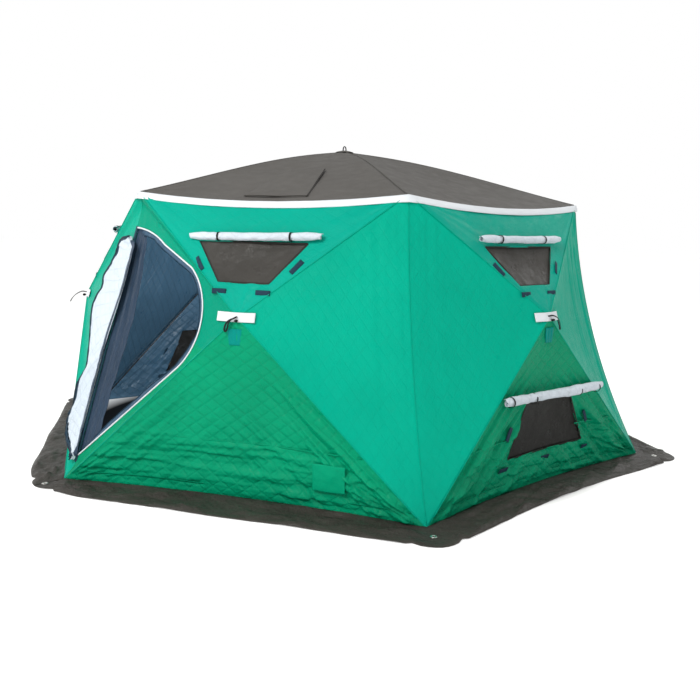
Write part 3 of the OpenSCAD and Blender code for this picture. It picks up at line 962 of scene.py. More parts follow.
        def relief(x: Array, y: Array) -> Array:
            """Long folds beside the seam, and folds from the eave's and the ground's corner."""
            beside = ease((y - 0.25) / 0.6)
            calm = 0.25 if corner == 2 else 1.0
            folds = 0.004 * calm * beside * noise.layers(x * 1.4 + 3, y * 7 + 8)
            folds += (0.0055 * beside if corner == 3 else 0.0015 * beside**4) * noise.layers(x * 1.1 + 6, y * 26 + 1)
            for end in (-1, 1):
                folds += 0.009 * calm * pull_folds(noise, x, y, (end * width / 2, height), 0.30, 9)
            folds += 0.003 * calm * pull_folds(noise, x, y, (0.0, 0.0), 0.35, 4)
            return folds + 0.0004 * quilt(x, y, self.quilt_pitch, self.quilt_rise)

        return self.fan(curve, (90, 110), relief, width, height)

    def corner(self, corner: int) -> None:
        """A corner's two halves, sewn together along the seam; the door's corner has only its left one.

        Args:
            corner: The corner, from 1 to 6.
        """
        before = corner - 1 if corner > 1 else WALLS
        bm = self.half_corner(before, 1, corner == 1)
        turn_to_wall(bm, before)
        if corner != 1:
            other = self.half_corner(corner, -1, False)
            turn_to_wall(other, corner)
            join(bm, other)
            close_poles(bm, 2e-4)
        name = f"corner_cloth_{corner}"
        piece = link(name, mesh_from(bm, name))
        dress(piece, self.finishes.taut, self.finishes.lining)
        thicken(piece, self.thickness, 1)
        MAKER.keep(piece, self.body, [f"corner_panel_{corner}"])

    def build(self) -> None:
        """Make every wall panel except the door's surround."""
        for number in range(1, WALLS + 1):
            self.upper(number)
            self.lower(number)
            self.corner(number)


@dataclass
class Roof:
    """The domed roof: six sectors and the pale band round the eave; the patch over wall 1 comes with the trim."""

    finishes: Finishes
    thickness: float = 0.003
    first: float = 0.012
    slope: float = 1.48
    band_h: float = 0.044
    body: str = "shelter"

    def sector(self, wall: int) -> None:
        """One sector between two roof rods."""
        noise = Noise(400 + wall)

        def chart(across: Array, down: Array) -> Array:
            """Flat coordinates in metres, with the peak at the origin."""
            return np.stack([(across - 0.5) * down * SHELL.eave_r, down * self.slope], axis=-1)

        def place(across: Array, down: Array) -> Array:
            """The roof's points, with folds that run from the eave's corners and the peak."""
            t = self.first + (1 - self.first) * down
            flat = chart(across, t)
            x, y = flat[..., 0], flat[..., 1]
            free = ease(np.minimum(t * SHELL.eave_r * np.minimum(across, 1 - across), (1 - t) * 1.4) / 0.07)
            folds = 0.005 * noise.layers(x * 2.1 + 5, y * 2.6 + 2)
            for side in (-1, 1):
                folds += 0.009 * pull_folds(noise, x, y, (side * SHELL.eave_r / 2, 1.46), 0.4, 7)
            folds += 0.004 * pull_folds(noise, x, y, (0.0, 0.0), 0.4, 6)
            slack = -0.012 * bump(across) * bump(t)
            return raised(SHELL.roof(across, t), (folds + slack) * free)

        bm = sheet_bmesh(64, 72, place, chart)
        face_out(bm)
        turn_to_wall(bm, wall)
        piece = link(f"roof_cloth_{wall}", mesh_from(bm, "roof"))
        dress(piece, self.finishes.roof, self.finishes.roof_lining)
        thicken(piece, self.thickness, 1)
        MAKER.keep(piece, self.body, [f"roof_panel_{wall}"])

    def band(self) -> None:
        """The pale tape round the eave, in one closed strip."""
        noise = Noise(450)
        per_wall = 40

        def place(around: Array, down: Array) -> Array:
            """The tape's points, a little proud of the wall."""
            wall, t = walls_round(around)
            side = np.where(t < 0.5, -1, 1)
            seams = [unit(SHELL.base_corner(k) - SHELL.eave_corner(k)) for k in (-1, 1)]
            seam = np.where((side < 0)[..., None], *seams)
            edge = SHELL.eave(t)
            panel = unit(SHELL.hub - edge * np.array([1.0, 0.0, 1.0]))
            drop = unit(mix(seam, panel, ease(np.minimum(t, 1 - t) / 0.045))) * (self.band_h * down)[..., None]
            wave = 0.0012 * noise.at(around * 150, down * 2)
            here = raised(edge + drop, 0.005 + wave + 0.002 * bump(down))
            angle = np.radians(FIRST_WALL + WALL_STEP * wall)
            c, s, x, y = np.cos(angle), np.sin(angle), here[..., 0], here[..., 1]
            return np.stack([x * c - y * s, x * s + y * c, here[..., 2]], axis=-1)

        length = WALLS * SHELL.eave_r
        bm = sheet_bmesh(WALLS * per_wall, 6, place, lambda a, d: np.stack([a * length, d * self.band_h], axis=-1))
        close_poles(bm)
        face_out(bm)
        piece = link("eave_tape", mesh_from(bm, "eave_tape"))
        dress(piece, self.finishes.tape)
        thicken(piece, 0.0015)
        MAKER.keep(piece, self.body, ["eave_band"])

    def build(self) -> None:
        """Make the roof and its band."""
        for wall in range(1, WALLS + 1):
            self.sector(wall)
        self.band()


@dataclass
class Skirt:
    """The snow skirt: one dark sheet round the shelter, with a round corner at each corner, kept flat where the trim's
    eyelets sit.
    """

    finishes: Finishes
    width: float = 0.230
    corner_r: float = 0.150
    thickness: float = 0.0015
    per_wall: int = 60
    body: str = "shelter"
    bow: tuple[float, ...] = (0.0, 0.055, 0.02, 0.03, 0.02, 0.0)

    def reach(self, angle: Array) -> Array:
        """The distance to the skirt's outer edge at an angle from the wall's middle."""
        flat = (SHELL.base_r * math.cos(HALF_TURN) + self.width) / np.cos(angle)
        centre = SHELL.base_r + (self.width - self.corner_r) / math.cos(HALF_TURN)
        off = HALF_TURN - np.abs(angle)
        inside = self.corner_r**2 - (centre * np.sin(off)) ** 2
        arc = centre * np.cos(off) + np.sqrt(np.maximum(inside, 0))
        return np.where(inside > 0, np.minimum(flat, arc), flat)

    def build(self) -> None:
        """Make the sheet."""
        noise = Noise(500)

        def place(around: Array, out: Array) -> Array:
            """The skirt's points: it leaves the wall just above the ground and lies in folds."""
            wall, t = walls_round(around)
            inner = SHELL.base(t)
            angle = np.arctan2(inner[..., 1], inner[..., 0])
            near = np.hypot(inner[..., 0], inner[..., 1]) + 0.001
            far = self.reach(angle) - np.array(self.bow)[wall] * bump(t) ** 2
            far = far - 0.010 * (1 + noise.at(around * 36, around * 0 + 9)) * bump(t)
            whole = angle + np.radians(FIRST_WALL + WALL_STEP * wall)
            off = np.angle(np.exp(1j * (whole + math.pi / 2)))
            far = far - 0.070 * np.exp(-((off / 0.10) ** 2))
            r = near + (far - near) * out
            side = np.minimum(t, 1 - t)
            folds = 0.020 * np.abs(noise.layers(around * 75 + 3 * out, out * 2.2 + 4, 3)) ** 1.3
            folds += 0.009 * np.abs(noise.at(around * 190 - 6 * out, out * 1.5))
            folds *= ease(side / 0.05) * 0.8 + 0.2
            lift = 0.010 * np.exp(-out / 0.10)
            z = 0.0035 + lift + folds * ease(out / 0.12) * (1 - 0.75 * ease((out - 0.88) / 0.12))
            return np.stack([r * np.cos(whole), r * np.sin(whole), z], axis=-1)

        length = WALLS * (SHELL.base_r + 0.12)
        chart: Place = lambda a, o: np.stack([a * length, o * self.width], axis=-1)
        bm = sheet_bmesh(WALLS * self.per_wall, 16, place, chart)
        close_poles(bm)
        face_out(bm, (0, 0, -5))
        for corner in range(1, WALLS + 1):
            self.eyelet_hole(bm, corner)
        piece = link("skirt_cloth", mesh_from(bm, "skirt"))
        dress(piece, self.finishes.skirt)
        thicken(piece, self.thickness)
        MAKER.keep(piece, self.body, ["snow_skirt"])

    def eyelet_hole(self, bm: bmesh.types.BMesh, corner: int) -> None:
        """Keep the cloth flat under an eyelet."""
        place = polar(EYELET_R, corner_angle(corner), 0)
        for v in bm.verts:
            far = math.hypot(v.co.x - place[0], v.co.y - place[1])
            if far < 0.05:
                v.co.z = 0.003 + (v.co.z - 0.003) * max(0.0, (far - 0.02) / 0.03)


# ---------------------------------------------------------------- tubes and tapes


def along(points: Array) -> Array:
    """The way that a path runs at each of its points."""
    return unit(np.gradient(points, axis=0))


def tube(name: str, paths: Sequence[Array], radius: float, sides: int = 8) -> bpy.types.Object:
    """Round tubes along paths, in one piece.

    Args:
        name: The piece's name.
        paths: Each path's points.
        radius: The tubes' radius in metres.
        sides: Faces round a tube.

    Returns:
        The piece.
    """
    whole = empty_sheet()
    for path in paths:
        way = along(path)
        first = np.cross(way, np.array([0.31, 0.17, 0.93]))
        first, turn = unit(first), np.linspace(0, 2 * math.pi, sides + 1)
        second = np.cross(way, first)
        count, length = len(path) - 1, path_length(path)

        def place(around: Array, down: Array) -> Array:
            """Points on the tube's skin."""
            k = np.rint(down * count).astype(int)
            angle = np.interp(around, np.linspace(0, 1, sides + 1), turn)[:, None]
            return path[k] + radius * (np.cos(angle) * first[k] + np.sin(angle) * second[k])

        bm = sheet_bmesh(sides, count, place, lambda a, d: np.stack([a * radius * 6.3, d * length], axis=-1))
        close_poles(bm)
        bmesh.ops.holes_fill(bm, edges=[e for e in bm.edges if e.is_boundary], sides=sides + 1)
        bmesh.ops.recalc_face_normals(bm, faces=bm.faces)
        join(whole, bm)
    return link(name, mesh_from(whole, name))


@dataclass(frozen=True)
class Tape:
    """A flat woven strip laid along a path."""

    width: float
    thickness: float = 0.0014
    lift: float = 0.0015
    crown: float = 0.0006

    def sheet(self, path: Array, out: Array, cells: int = 4) -> bmesh.types.BMesh:
        """The strip's face.

        Args:
            path: Points along its middle line.
            out: The way out of the cloth at each of them.
            cells: Faces across.

        Returns:
            The face, open at the back.
        """
        way = along(path)
        side = unit(np.cross(way, out))
        count, length = len(path) - 1, path_length(path)

        def place(across: Array, down: Array) -> Array:
            """Points of the strip, crowned a little across."""
            k = np.rint(down * count).astype(int)
            off = (across - 0.5) * self.width
            rise = self.lift + self.crown * bump(across)
            return path[k] + side[k] * off[:, None] + out[k] * rise[:, None]

        bm = sheet_bmesh(cells, count, place, lambda a, d: np.stack([a * self.width, d * length], axis=-1))
        face_along(bm, out.mean(axis=0))
        return bm

    def build(self, name: str, runs: Sequence[Run], material: bpy.types.Material) -> bpy.types.Object:
        """Strips along several paths, in one piece with its thickness.

        Args:
            name: The piece's name.
            runs: The paths, each with the way out along it.
            material: The finish.

        Returns:
            The piece.
        """
        whole = empty_sheet()
        for path, out in runs:
            join(whole, self.sheet(path, out))
        piece = link(name, mesh_from(whole, name))
        dress(piece, material)
        thicken(piece, self.thickness)
        return piece

    def sew(self, name: str, runs: Sequence[Run], material: bpy.types.Material, body: str, slot: str,
            stands_for: Sequence[str] = (), held: str = "stretched") -> None:
        """Make strips along several paths and keep them as one sheet.

        Args:
            name: The piece's name.
            runs: The strips' paths, each with the way out along it.
            material: Their finish.
            body: The CAD body that they move with.
            slot: Not used.
            stands_for: CAD nodes that they replace.
            held: Not used.
        """
        piece = self.build(name, runs, material)
        MAKER.keep(piece, body, stands_for)


def smooth_line(points: Sequence[Sequence[float]], count: int) -> Array:
    """A smooth curve through points, with evenly shared steps between them.

    Args:
        points: The points, at least two.
        count: How many points the curve gets.

    Returns:
        The curve's points.
    """
    p = np.array(points, float)
    p = np.vstack([2 * p[0] - p[1], p, 2 * p[-1] - p[-2]])
    spot = np.linspace(0, len(points) - 1, count)
    k = np.minimum(spot.astype(int), len(points) - 2)
    u = (spot - k)[:, None]
    a, b, c, d = p[k], p[k + 1], p[k + 2], p[k + 3]
    return 0.5 * (2 * b + (c - a) * u + (2 * a - 5 * b + 4 * c - d) * u**2 + (3 * b - a - 3 * c + d) * u**3)


# ---------------------------------------------------------------- the doorway


class Doorway:
    """The D-shaped opening in the flat half corner between wall 1's hub and the door's seam."""

    INSET = 0.088
    TIP_R = 0.380
    TOP = 1.530
    HEM = 0.008
    AXIS_OUT = 0.006

    def __init__(self) -> None:
        """Work out the plane and the outline from the shelter's lines."""
        low, high = SHELL.base_corner(-1), SHELL.eave_corner(-1)
        inward = -polar(1.0, -HALF_TURN, 0.0)
        origin = low + inward * SHELL.door_seam_sag
        up = unit(high - low)
        across = SHELL.hub - origin
        across = unit(across - up * across.dot(up))
        angle = wall_angle(1)
        self.origin, self.up, self.across = (turned(v, angle) for v in (origin, up, across))
        self.out = np.cross(self.across, self.up)
        self.hub = self.flat(to_wall(SHELL.hub, 1))
        self.eave, self.base = self.flat(to_wall(high, 1)), self.flat(to_wall(low, 1))
        self.upper = math.atan2(self.eave[1] - self.hub[1], self.hub[0] - self.eave[0])
        self.lower = math.atan2(self.hub[1] - self.base[1], self.hub[0] - self.base[0])
        half = math.pi / 2 - (self.upper + self.lower) / 2
        way = math.pi + (self.lower - self.upper) / 2
        far = (self.INSET + self.TIP_R) / math.sin(half)
        self.tip = self.hub + far * np.array([math.cos(way), math.sin(way)])
        line = self.hub[1] + self.hub[0] * math.tan(self.upper) - self.INSET / math.cos(self.upper)
        self.top_r = (line - self.TOP) * math.cos(self.upper) / (1 - math.cos(self.upper))

    def flat(self, point: Array) -> Array:
        """A point's distance across and along the plane."""
        return np.array([(point - self.origin).dot(self.across), (point - self.origin).dot(self.up)])

    def at(self, x: Array, y: Array, depth: object = 0.0) -> Array:
        """Points of the plane, at a depth out of it."""
        x, y = np.asarray(x, float), np.asarray(y, float)
        depth = np.broadcast_to(np.asarray(depth, float), x.shape)
        return self.origin + x[..., None] * self.across + y[..., None] * self.up + depth[..., None] * self.out

    def outline(self, inset: float = 0.0, count: int = 48) -> Array:
        """The D's curved side, from its lower corner round the tip to its top.

        Args:
            inset: Distance inside the opening's edge.
            count: Points on each of the two arcs.

        Returns:
            Distances across and along the plane.
        """
        hem = self.HEM
        low = self.base[1] + (hem - self.base[0]) * math.tan(self.lower) + (self.INSET + inset) / math.cos(self.lower)
        tip_r, top_r = self.TIP_R - inset, self.top_r - inset
        first = np.linspace(self.lower - math.pi / 2, math.pi / 2 - self.upper, count)
        second = np.linspace(math.pi / 2 - self.upper, math.acos(hem / top_r), count)
        start = self.tip + tip_r * np.array([math.cos(first[0]), math.sin(first[0])])
        straight = mix(np.array([hem, low]), start, np.linspace(0, 1, count, endpoint=False))
        tip = self.tip + tip_r * np.stack([np.cos(first), np.sin(first)], axis=-1)
        middle = np.array([0.0, self.TOP - self.top_r])
        top = middle + top_r * np.stack([np.cos(second), np.sin(second)], axis=-1)
        return np.vstack([straight, tip, top[1:]])

    def sewn(self, x: Array, y: Array) -> Array:
        """Points of the half corner itself, which leaves the plane where it meets the eave and the ground.

        Args:
            x: Distances across the plane.
            y: Distances along it.

        Returns:
            The points.
        """
        gap = self.hub[0] - x
        share = np.clip(gap / self.hub[0], 0, 1)
        foot = self.hub[1] + (y - self.hub[1]) / np.maximum(share, 1e-6)
        length = np.linalg.norm(SHELL.eave_corner(-1) - SHELL.base_corner(-1))
        t = np.clip(1 - foot / length, 0, 1)
        rim = to_wall(SHELL.seam(-1, t, True), 1)
        hub = to_wall(SHELL.hub, 1)
        return hub + (rim - hub) * share[..., None]


DOORWAY = Doorway()


@dataclass
class DoorFrame:
    """What is sewn round the doorway: the green surround, its pale piping and the zip's band."""

    finishes: Finishes
    steps: int = 260
    band_w: float = 0.052
    seam_low: float = 0.10
    seam_top: float = 1.54
    facing_w: float = 0.112
    facing_l: float = 1.395
    body: str = "shelter"

    def reach(self, polygon: Array, centre: Array, angles: Array) -> Array:
        """How far a polygon's edge is from a point inside it, in each direction.

        Args:
            polygon: Its points in order.
            centre: The point inside it.
            angles: The directions, in radians.

        Returns:
            One distance for each direction.
        """
        ends = np.roll(polygon, -1, axis=0)
        ways = np.stack([np.cos(angles), np.sin(angles)], axis=-1)
        edge = ends - polygon
        start = polygon - centre
        below = ways[:, None, 0] * edge[None, :, 1] - ways[:, None, 1] * edge[None, :, 0]
        below = np.where(np.abs(below) < 1e-12, 1e-12, below)
        far = (start[None, :, 0] * edge[None, :, 1] - start[None, :, 1] * edge[None, :, 0]) / below
        share = (start[None, :, 0] * ways[:, None, 1] - start[None, :, 1] * ways[:, None, 0]) / below
        hit = (far > 0) & (share > -1e-6) & (share < 1 + 1e-6)
        return np.where(hit, far, np.inf).min(axis=1)

    def surround(self) -> None:
        """The green cloth between the opening, the seam and the two rods."""
        noise = Noise(600)
        d = DOORWAY
        centre = np.array([0.22, 1.0])
        length = float(np.linalg.norm(SHELL.eave_corner(-1) - SHELL.base_corner(-1)))
        outer = np.array([[0, 0], d.hub, [0, length]])
        curve = d.outline()
        marks = np.vstack([outer, curve[[0, -1]]]) - centre
        even = np.linspace(-math.pi, math.pi, self.steps)
        angles = np.sort(np.concatenate([even, np.arctan2(marks[:, 1], marks[:, 0])]))
        near, far = self.reach(curve, centre, angles), self.reach(outer, centre, angles)
        count = len(angles) - 1

        def flat(around: Array, out: Array) -> tuple[Array, Array]:
            """Flat coordinates on the plane."""
            k = np.rint(around * count).astype(int)
            r = near[k] + (far[k] - near[k]) * out
            return centre[0] + r * np.cos(angles[k]), centre[1] + r * np.sin(angles[k])

        def place(around: Array, out: Array) -> Array:
            """The cloth's points, with folds that run from the hub and the corners."""
            x, y = flat(around, out)
            folds = 0.004 * noise.layers(x * 4, y * 4) + 0.006 * pull_folds(noise, x, y, tuple(d.hub), 0.3, 8)
            for tip in ((0.0, 0.0), (0.0, length)):
                folds += 0.006 * pull_folds(noise, x, y, tip, 0.3, 8)
            k = np.rint(around * count).astype(int)
            free = ease((far[k] - near[k]) * (1 - out) / 0.04) * ease((x - 0.01) / 0.05)
            return d.sewn(x, y) + d.out * (folds * free * (0.3 + 0.7 * bump(out)))[..., None]

        bm = sheet_bmesh(count, 10, place, lambda a, o: np.stack(flat(a, o), axis=-1))
        close_poles(bm)
        face_out(bm)
        for face in bm.faces:
            spot = d.flat(np.array(face.calc_center_median()))
            face.material_index = 2 if spot[1] < d.hub[1] - 0.16 + 0.3 * (d.hub[0] - spot[0]) - 0.1 else 0
        piece = link("door_surround_cloth", mesh_from(bm, "door_surround_cloth"))
        dress(piece, self.finishes.surround, self.finishes.lining, self.finishes.quilted, self.finishes.lining)
        thicken(piece, 0.004, 1)
        MAKER.keep(piece, self.body, ["door_surround"])

    def piping(self) -> None:
        """The pale piping on the opening's edge."""
        edge = DOORWAY.outline(-0.001, 60)
        tape = Tape(0.010, 0.002, 0.002, 0.003)
        path = DOORWAY.at(edge[:, 0], edge[:, 1])
        runs = [(path, np.tile(DOORWAY.out, (len(path), 1)))]
        tape.sew("doorway_piping", runs, self.finishes.tape, self.body, "pale_trim", ["door_piping"])

    def zip_band(self) -> None:
        """The slate band behind the opening's edge, and the zip's chain on its free edge."""
        noise = Noise(620)
        outer, inner = DOORWAY.outline(-0.018, 70), DOORWAY.outline(0.034, 70)
        count = len(outer) - 1

        def place(around: Array, inwards: Array) -> Array:
            """The band's points: it dips away from the wall and waves along its free edge."""
            k = np.rint(around * count).astype(int)
            flat = outer[k] + (inner[k] - outer[k]) * inwards[..., None]
            wave = 0.006 * noise.layers(around * 22, inwards) * inwards
            wave += 0.0035 * noise.at(around * 60, inwards * 2) * bump(inwards)
            flat = flat + (flat - outer[k]) * (0.10 * noise.at(around * 16, inwards * 0 + 3) * inwards)[..., None]
            return DOORWAY.at(flat[..., 0], flat[..., 1], -0.010 - 0.006 * inwards + wave)

        width, length = self.band_w, path_length(outer)
        bm = sheet_bmesh(count, 8, place, lambda a, i: np.stack([i * width, a * length], axis=-1))
        rim = place(np.linspace(0, 1, count + 1), np.ones(count + 1))
        face_along(bm, DOORWAY.out)
        piece = link("doorway_zip_band", mesh_from(bm, "doorway_zip_band"))
        dress(piece, self.finishes.zip)
        thicken(piece, 0.002)
        MAKER.keep(piece, self.body, ["door_zip_band"])
        chain = tube("doorway_zip_chain", [rim], 0.0032, 6)
        dress(chain, self.finishes.navy)
        MAKER.keep(chain, self.body)

    def hinge_binding(self) -> None:
        """The dark binding that covers the door's seam."""
        y = np.linspace(self.seam_low, self.seam_top, 90)
        path = DOORWAY.at(np.full_like(y, 0.002), y)
        tape = Tape(0.016)
        piece = tape.build("door_seam_binding", [(path, np.tile(DOORWAY.out, (len(y), 1)))], self.finishes.navy)
        MAKER.keep(piece, self.body)

    def hinge_facing(self) -> None:
        """The slate facing inside the opening beside the hinge, with two piped folds down it."""
        noise = Noise(630)
        heights, widths = (0.12, 0.36, 0.57, 0.96, 1.30, 1.52), (0.085, 0.108, 0.112, 0.134, 0.108, 0.070)

        def place(u: Array, v: Array) -> Array:
            """The facing's points, from the hinge inwards and from the bottom up."""
            y = 0.125 + self.facing_l * v
            width = np.interp(y, heights, widths)
            width = width + 0.005 * noise.at(v * 16, u)
            ridges = sum(np.exp(-(((u - at) / 0.045) ** 2)) for at in (0.36, 0.70))
            depth = -0.009 - 0.016 * u + 0.007 * ridges + 0.003 * noise.layers(v * 14, u * 3) * u
            return DOORWAY.at(0.004 + width * u, y, depth)

        bm = sheet_bmesh(28, 110, place, lambda u, v: np.stack([u * 0.11, v * self.facing_l], axis=-1))
        face_along(bm, DOORWAY.out)
        piece = link("hinge_facing", mesh_from(bm, "hinge_facing"))
        dress(piece, self.finishes.facing)
        thicken(piece, 0.002)
        MAKER.keep(piece, self.body)

    def build(self) -> None:
        """Make all of it."""
        self.surround()
        self.piping()
        self.zip_band()
        self.hinge_binding()
        self.hinge_facing()


@dataclass
class DoorFlap:
    """The soft door, folded back beside its seam: green outside, pale quilted lining, and a zip round its edge.

    EDGE gives its free edge, from the bottom of the hinge to the top, as distances from the hinge and
    along it; the cloth is slack, so the edge swings in and out in folds.
    """

    EDGE = ((0.012, 0.112), (0.046, 0.135), (0.192, 0.201), (0.267, 0.273), (0.241, 0.378), (0.183, 0.559),
            (0.190, 0.687), (0.254, 0.840), (0.341, 1.002), (0.277, 1.131), (0.271, 1.246), (0.163, 1.339),
            (0.176, 1.440), (0.036, 1.460), (0.012, 1.470))

    OPEN_DEG = 201.0

    finishes: Finishes
    body: str = "door"
    columns: int = 110
    rows: int = 170
    hinge_low: float = 0.112
    hinge_top: float = 1.470
    edge_w: float = 0.022
    hinge_w: float = 0.024
    low_w: float = 0.030

    def __post_init__(self) -> None:
        """Find the open flap's plane."""
        turn = Matrix.Rotation(math.radians(-self.OPEN_DEG), 4, Vector(DOORWAY.up))
        self.across = np.array(turn @ Vector(DOORWAY.across))
        self.out = np.array(turn @ Vector(-DOORWAY.out))
        self.origin = DOORWAY.origin + DOORWAY.out * DOORWAY.AXIS_OUT
        self.noise = Noise(640)
        self.edge = smooth_line(self.EDGE, self.rows + 1)

    def folds(self, u: Array, v: Array) -> Array:
        """How far the slack cloth stands off the wall."""
        swing = self.noise.at(v * 9 + 2 + 0.6 * u, u * 1.3)
        small = self.noise.layers(v * 23 + 3 * u, u * 3, 3)
        lift = 0.024 * (0.5 + 0.5 * swing) * u**1.2 + 0.006 * small * ease(u / 0.2)
        ridge = 0.022 * np.exp(-(((v - 0.47 + 0.12 * u) / 0.035) ** 2))
        ridge = ridge + 0.018 * np.exp(-(((v - 0.83 + 0.05 * u) / 0.03) ** 2))
        return 0.007 + lift + ridge * ease(u / 0.5)

    def place(self, u: Array, v: Array) -> Array:
        """Points of the flap from shares away from the hinge and up it.

        Args:
            u: Shares from the hinge (0) to the free edge (1).
            v: Shares up the hinge.

        Returns:
            The points.
        """
        k = np.rint(v * self.rows).astype(int)
        edge = self.edge[k]
        hinge = self.hinge_low + (self.hinge_top - self.hinge_low) * v
        pull = u + 0.05 * np.sin(math.pi * u) * self.noise.at(v * 12, u * 2)
        start = 0.004 - 0.062 * ease((v - 0.42) / 0.40) * (1 - ease((v - 0.95) / 0.05))
        x = start + (edge[..., 0] - start) * pull
        y = hinge + (edge[..., 1] - hinge) * u**1.4
        flat = self.origin + x[..., None] * self.across + y[..., None] * DOORWAY.up
        return flat + self.folds(u, v)[..., None] * self.out

    def normals(self, u: Array, v: Array) -> Array:
        """The way out of the cloth at some of its points."""
        step = 1.0 / self.rows
        du = self.place(np.clip(u + 0.01, 0, 1), v) - self.place(np.clip(u - 0.01, 0, 1), v)
        dv = self.place(u, np.clip(v + step, 0, 1)) - self.place(u, np.clip(v - step, 0, 1))
        n = unit(np.cross(du, dv))
        return n * np.sign((n * self.out).sum(axis=-1, keepdims=True))

    def run(self, u: object, v: object, count: int = 170) -> Run:
        """A path on the flap and the way out along it."""
        us, vs = (np.broadcast_to(np.asarray(w, float), (count,)) for w in (u, v))
        vs = np.rint(vs * self.rows) / self.rows
        return self.place(us, vs), self.normals(us, vs)

    def build(self) -> None:
        """Make the flap, its bindings and its zip."""
        bm = sheet_bmesh(self.columns, self.rows, self.place,
                         lambda u, v: np.stack([u * 0.28, v * 1.36], axis=-1))
        close_poles(bm, 1e-5)
        face_along(bm, self.out)
        piece = link("door_cloth", mesh_from(bm, "door_cloth"))
        dress(piece, self.finishes.pale, self.finishes.taut)
        thicken(piece, 0.004, 1)
        MAKER.keep(piece, self.body, ["door_flap"])
        v = np.linspace(0, 1, self.rows + 1)
        rim, out = self.run(np.full(self.rows + 1, 0.985), v, self.rows + 1)
        edge, navy, slot = Tape(self.edge_w, 0.0035, 0.001, 0.001), self.finishes.navy, "navy_binding"
        edge.sew("door_edge_binding", [(rim, out)], navy, self.body, slot)
        chain = tube("door_zip_chain", [self.place(np.ones(self.rows + 1), v)], 0.0035, 6)
        dress(chain, self.finishes.webbing)
        MAKER.keep(chain, self.body)
        hinge_run = self.run(0.04, np.linspace(0.02, 0.985, 150), 150)
        Tape(self.hinge_w).sew("door_hinge_binding", [hinge_run], self.finishes.facing, self.body, slot)
        hem_run = self.run(0.92, np.linspace(0.03, 0.22, 60), 60)
        Tape(self.low_w, 0.002, 0.0015).sew("door_bottom_band", [hem_run], navy, self.body, slot)


# ---------------------------------------------------------------- windows and their covers


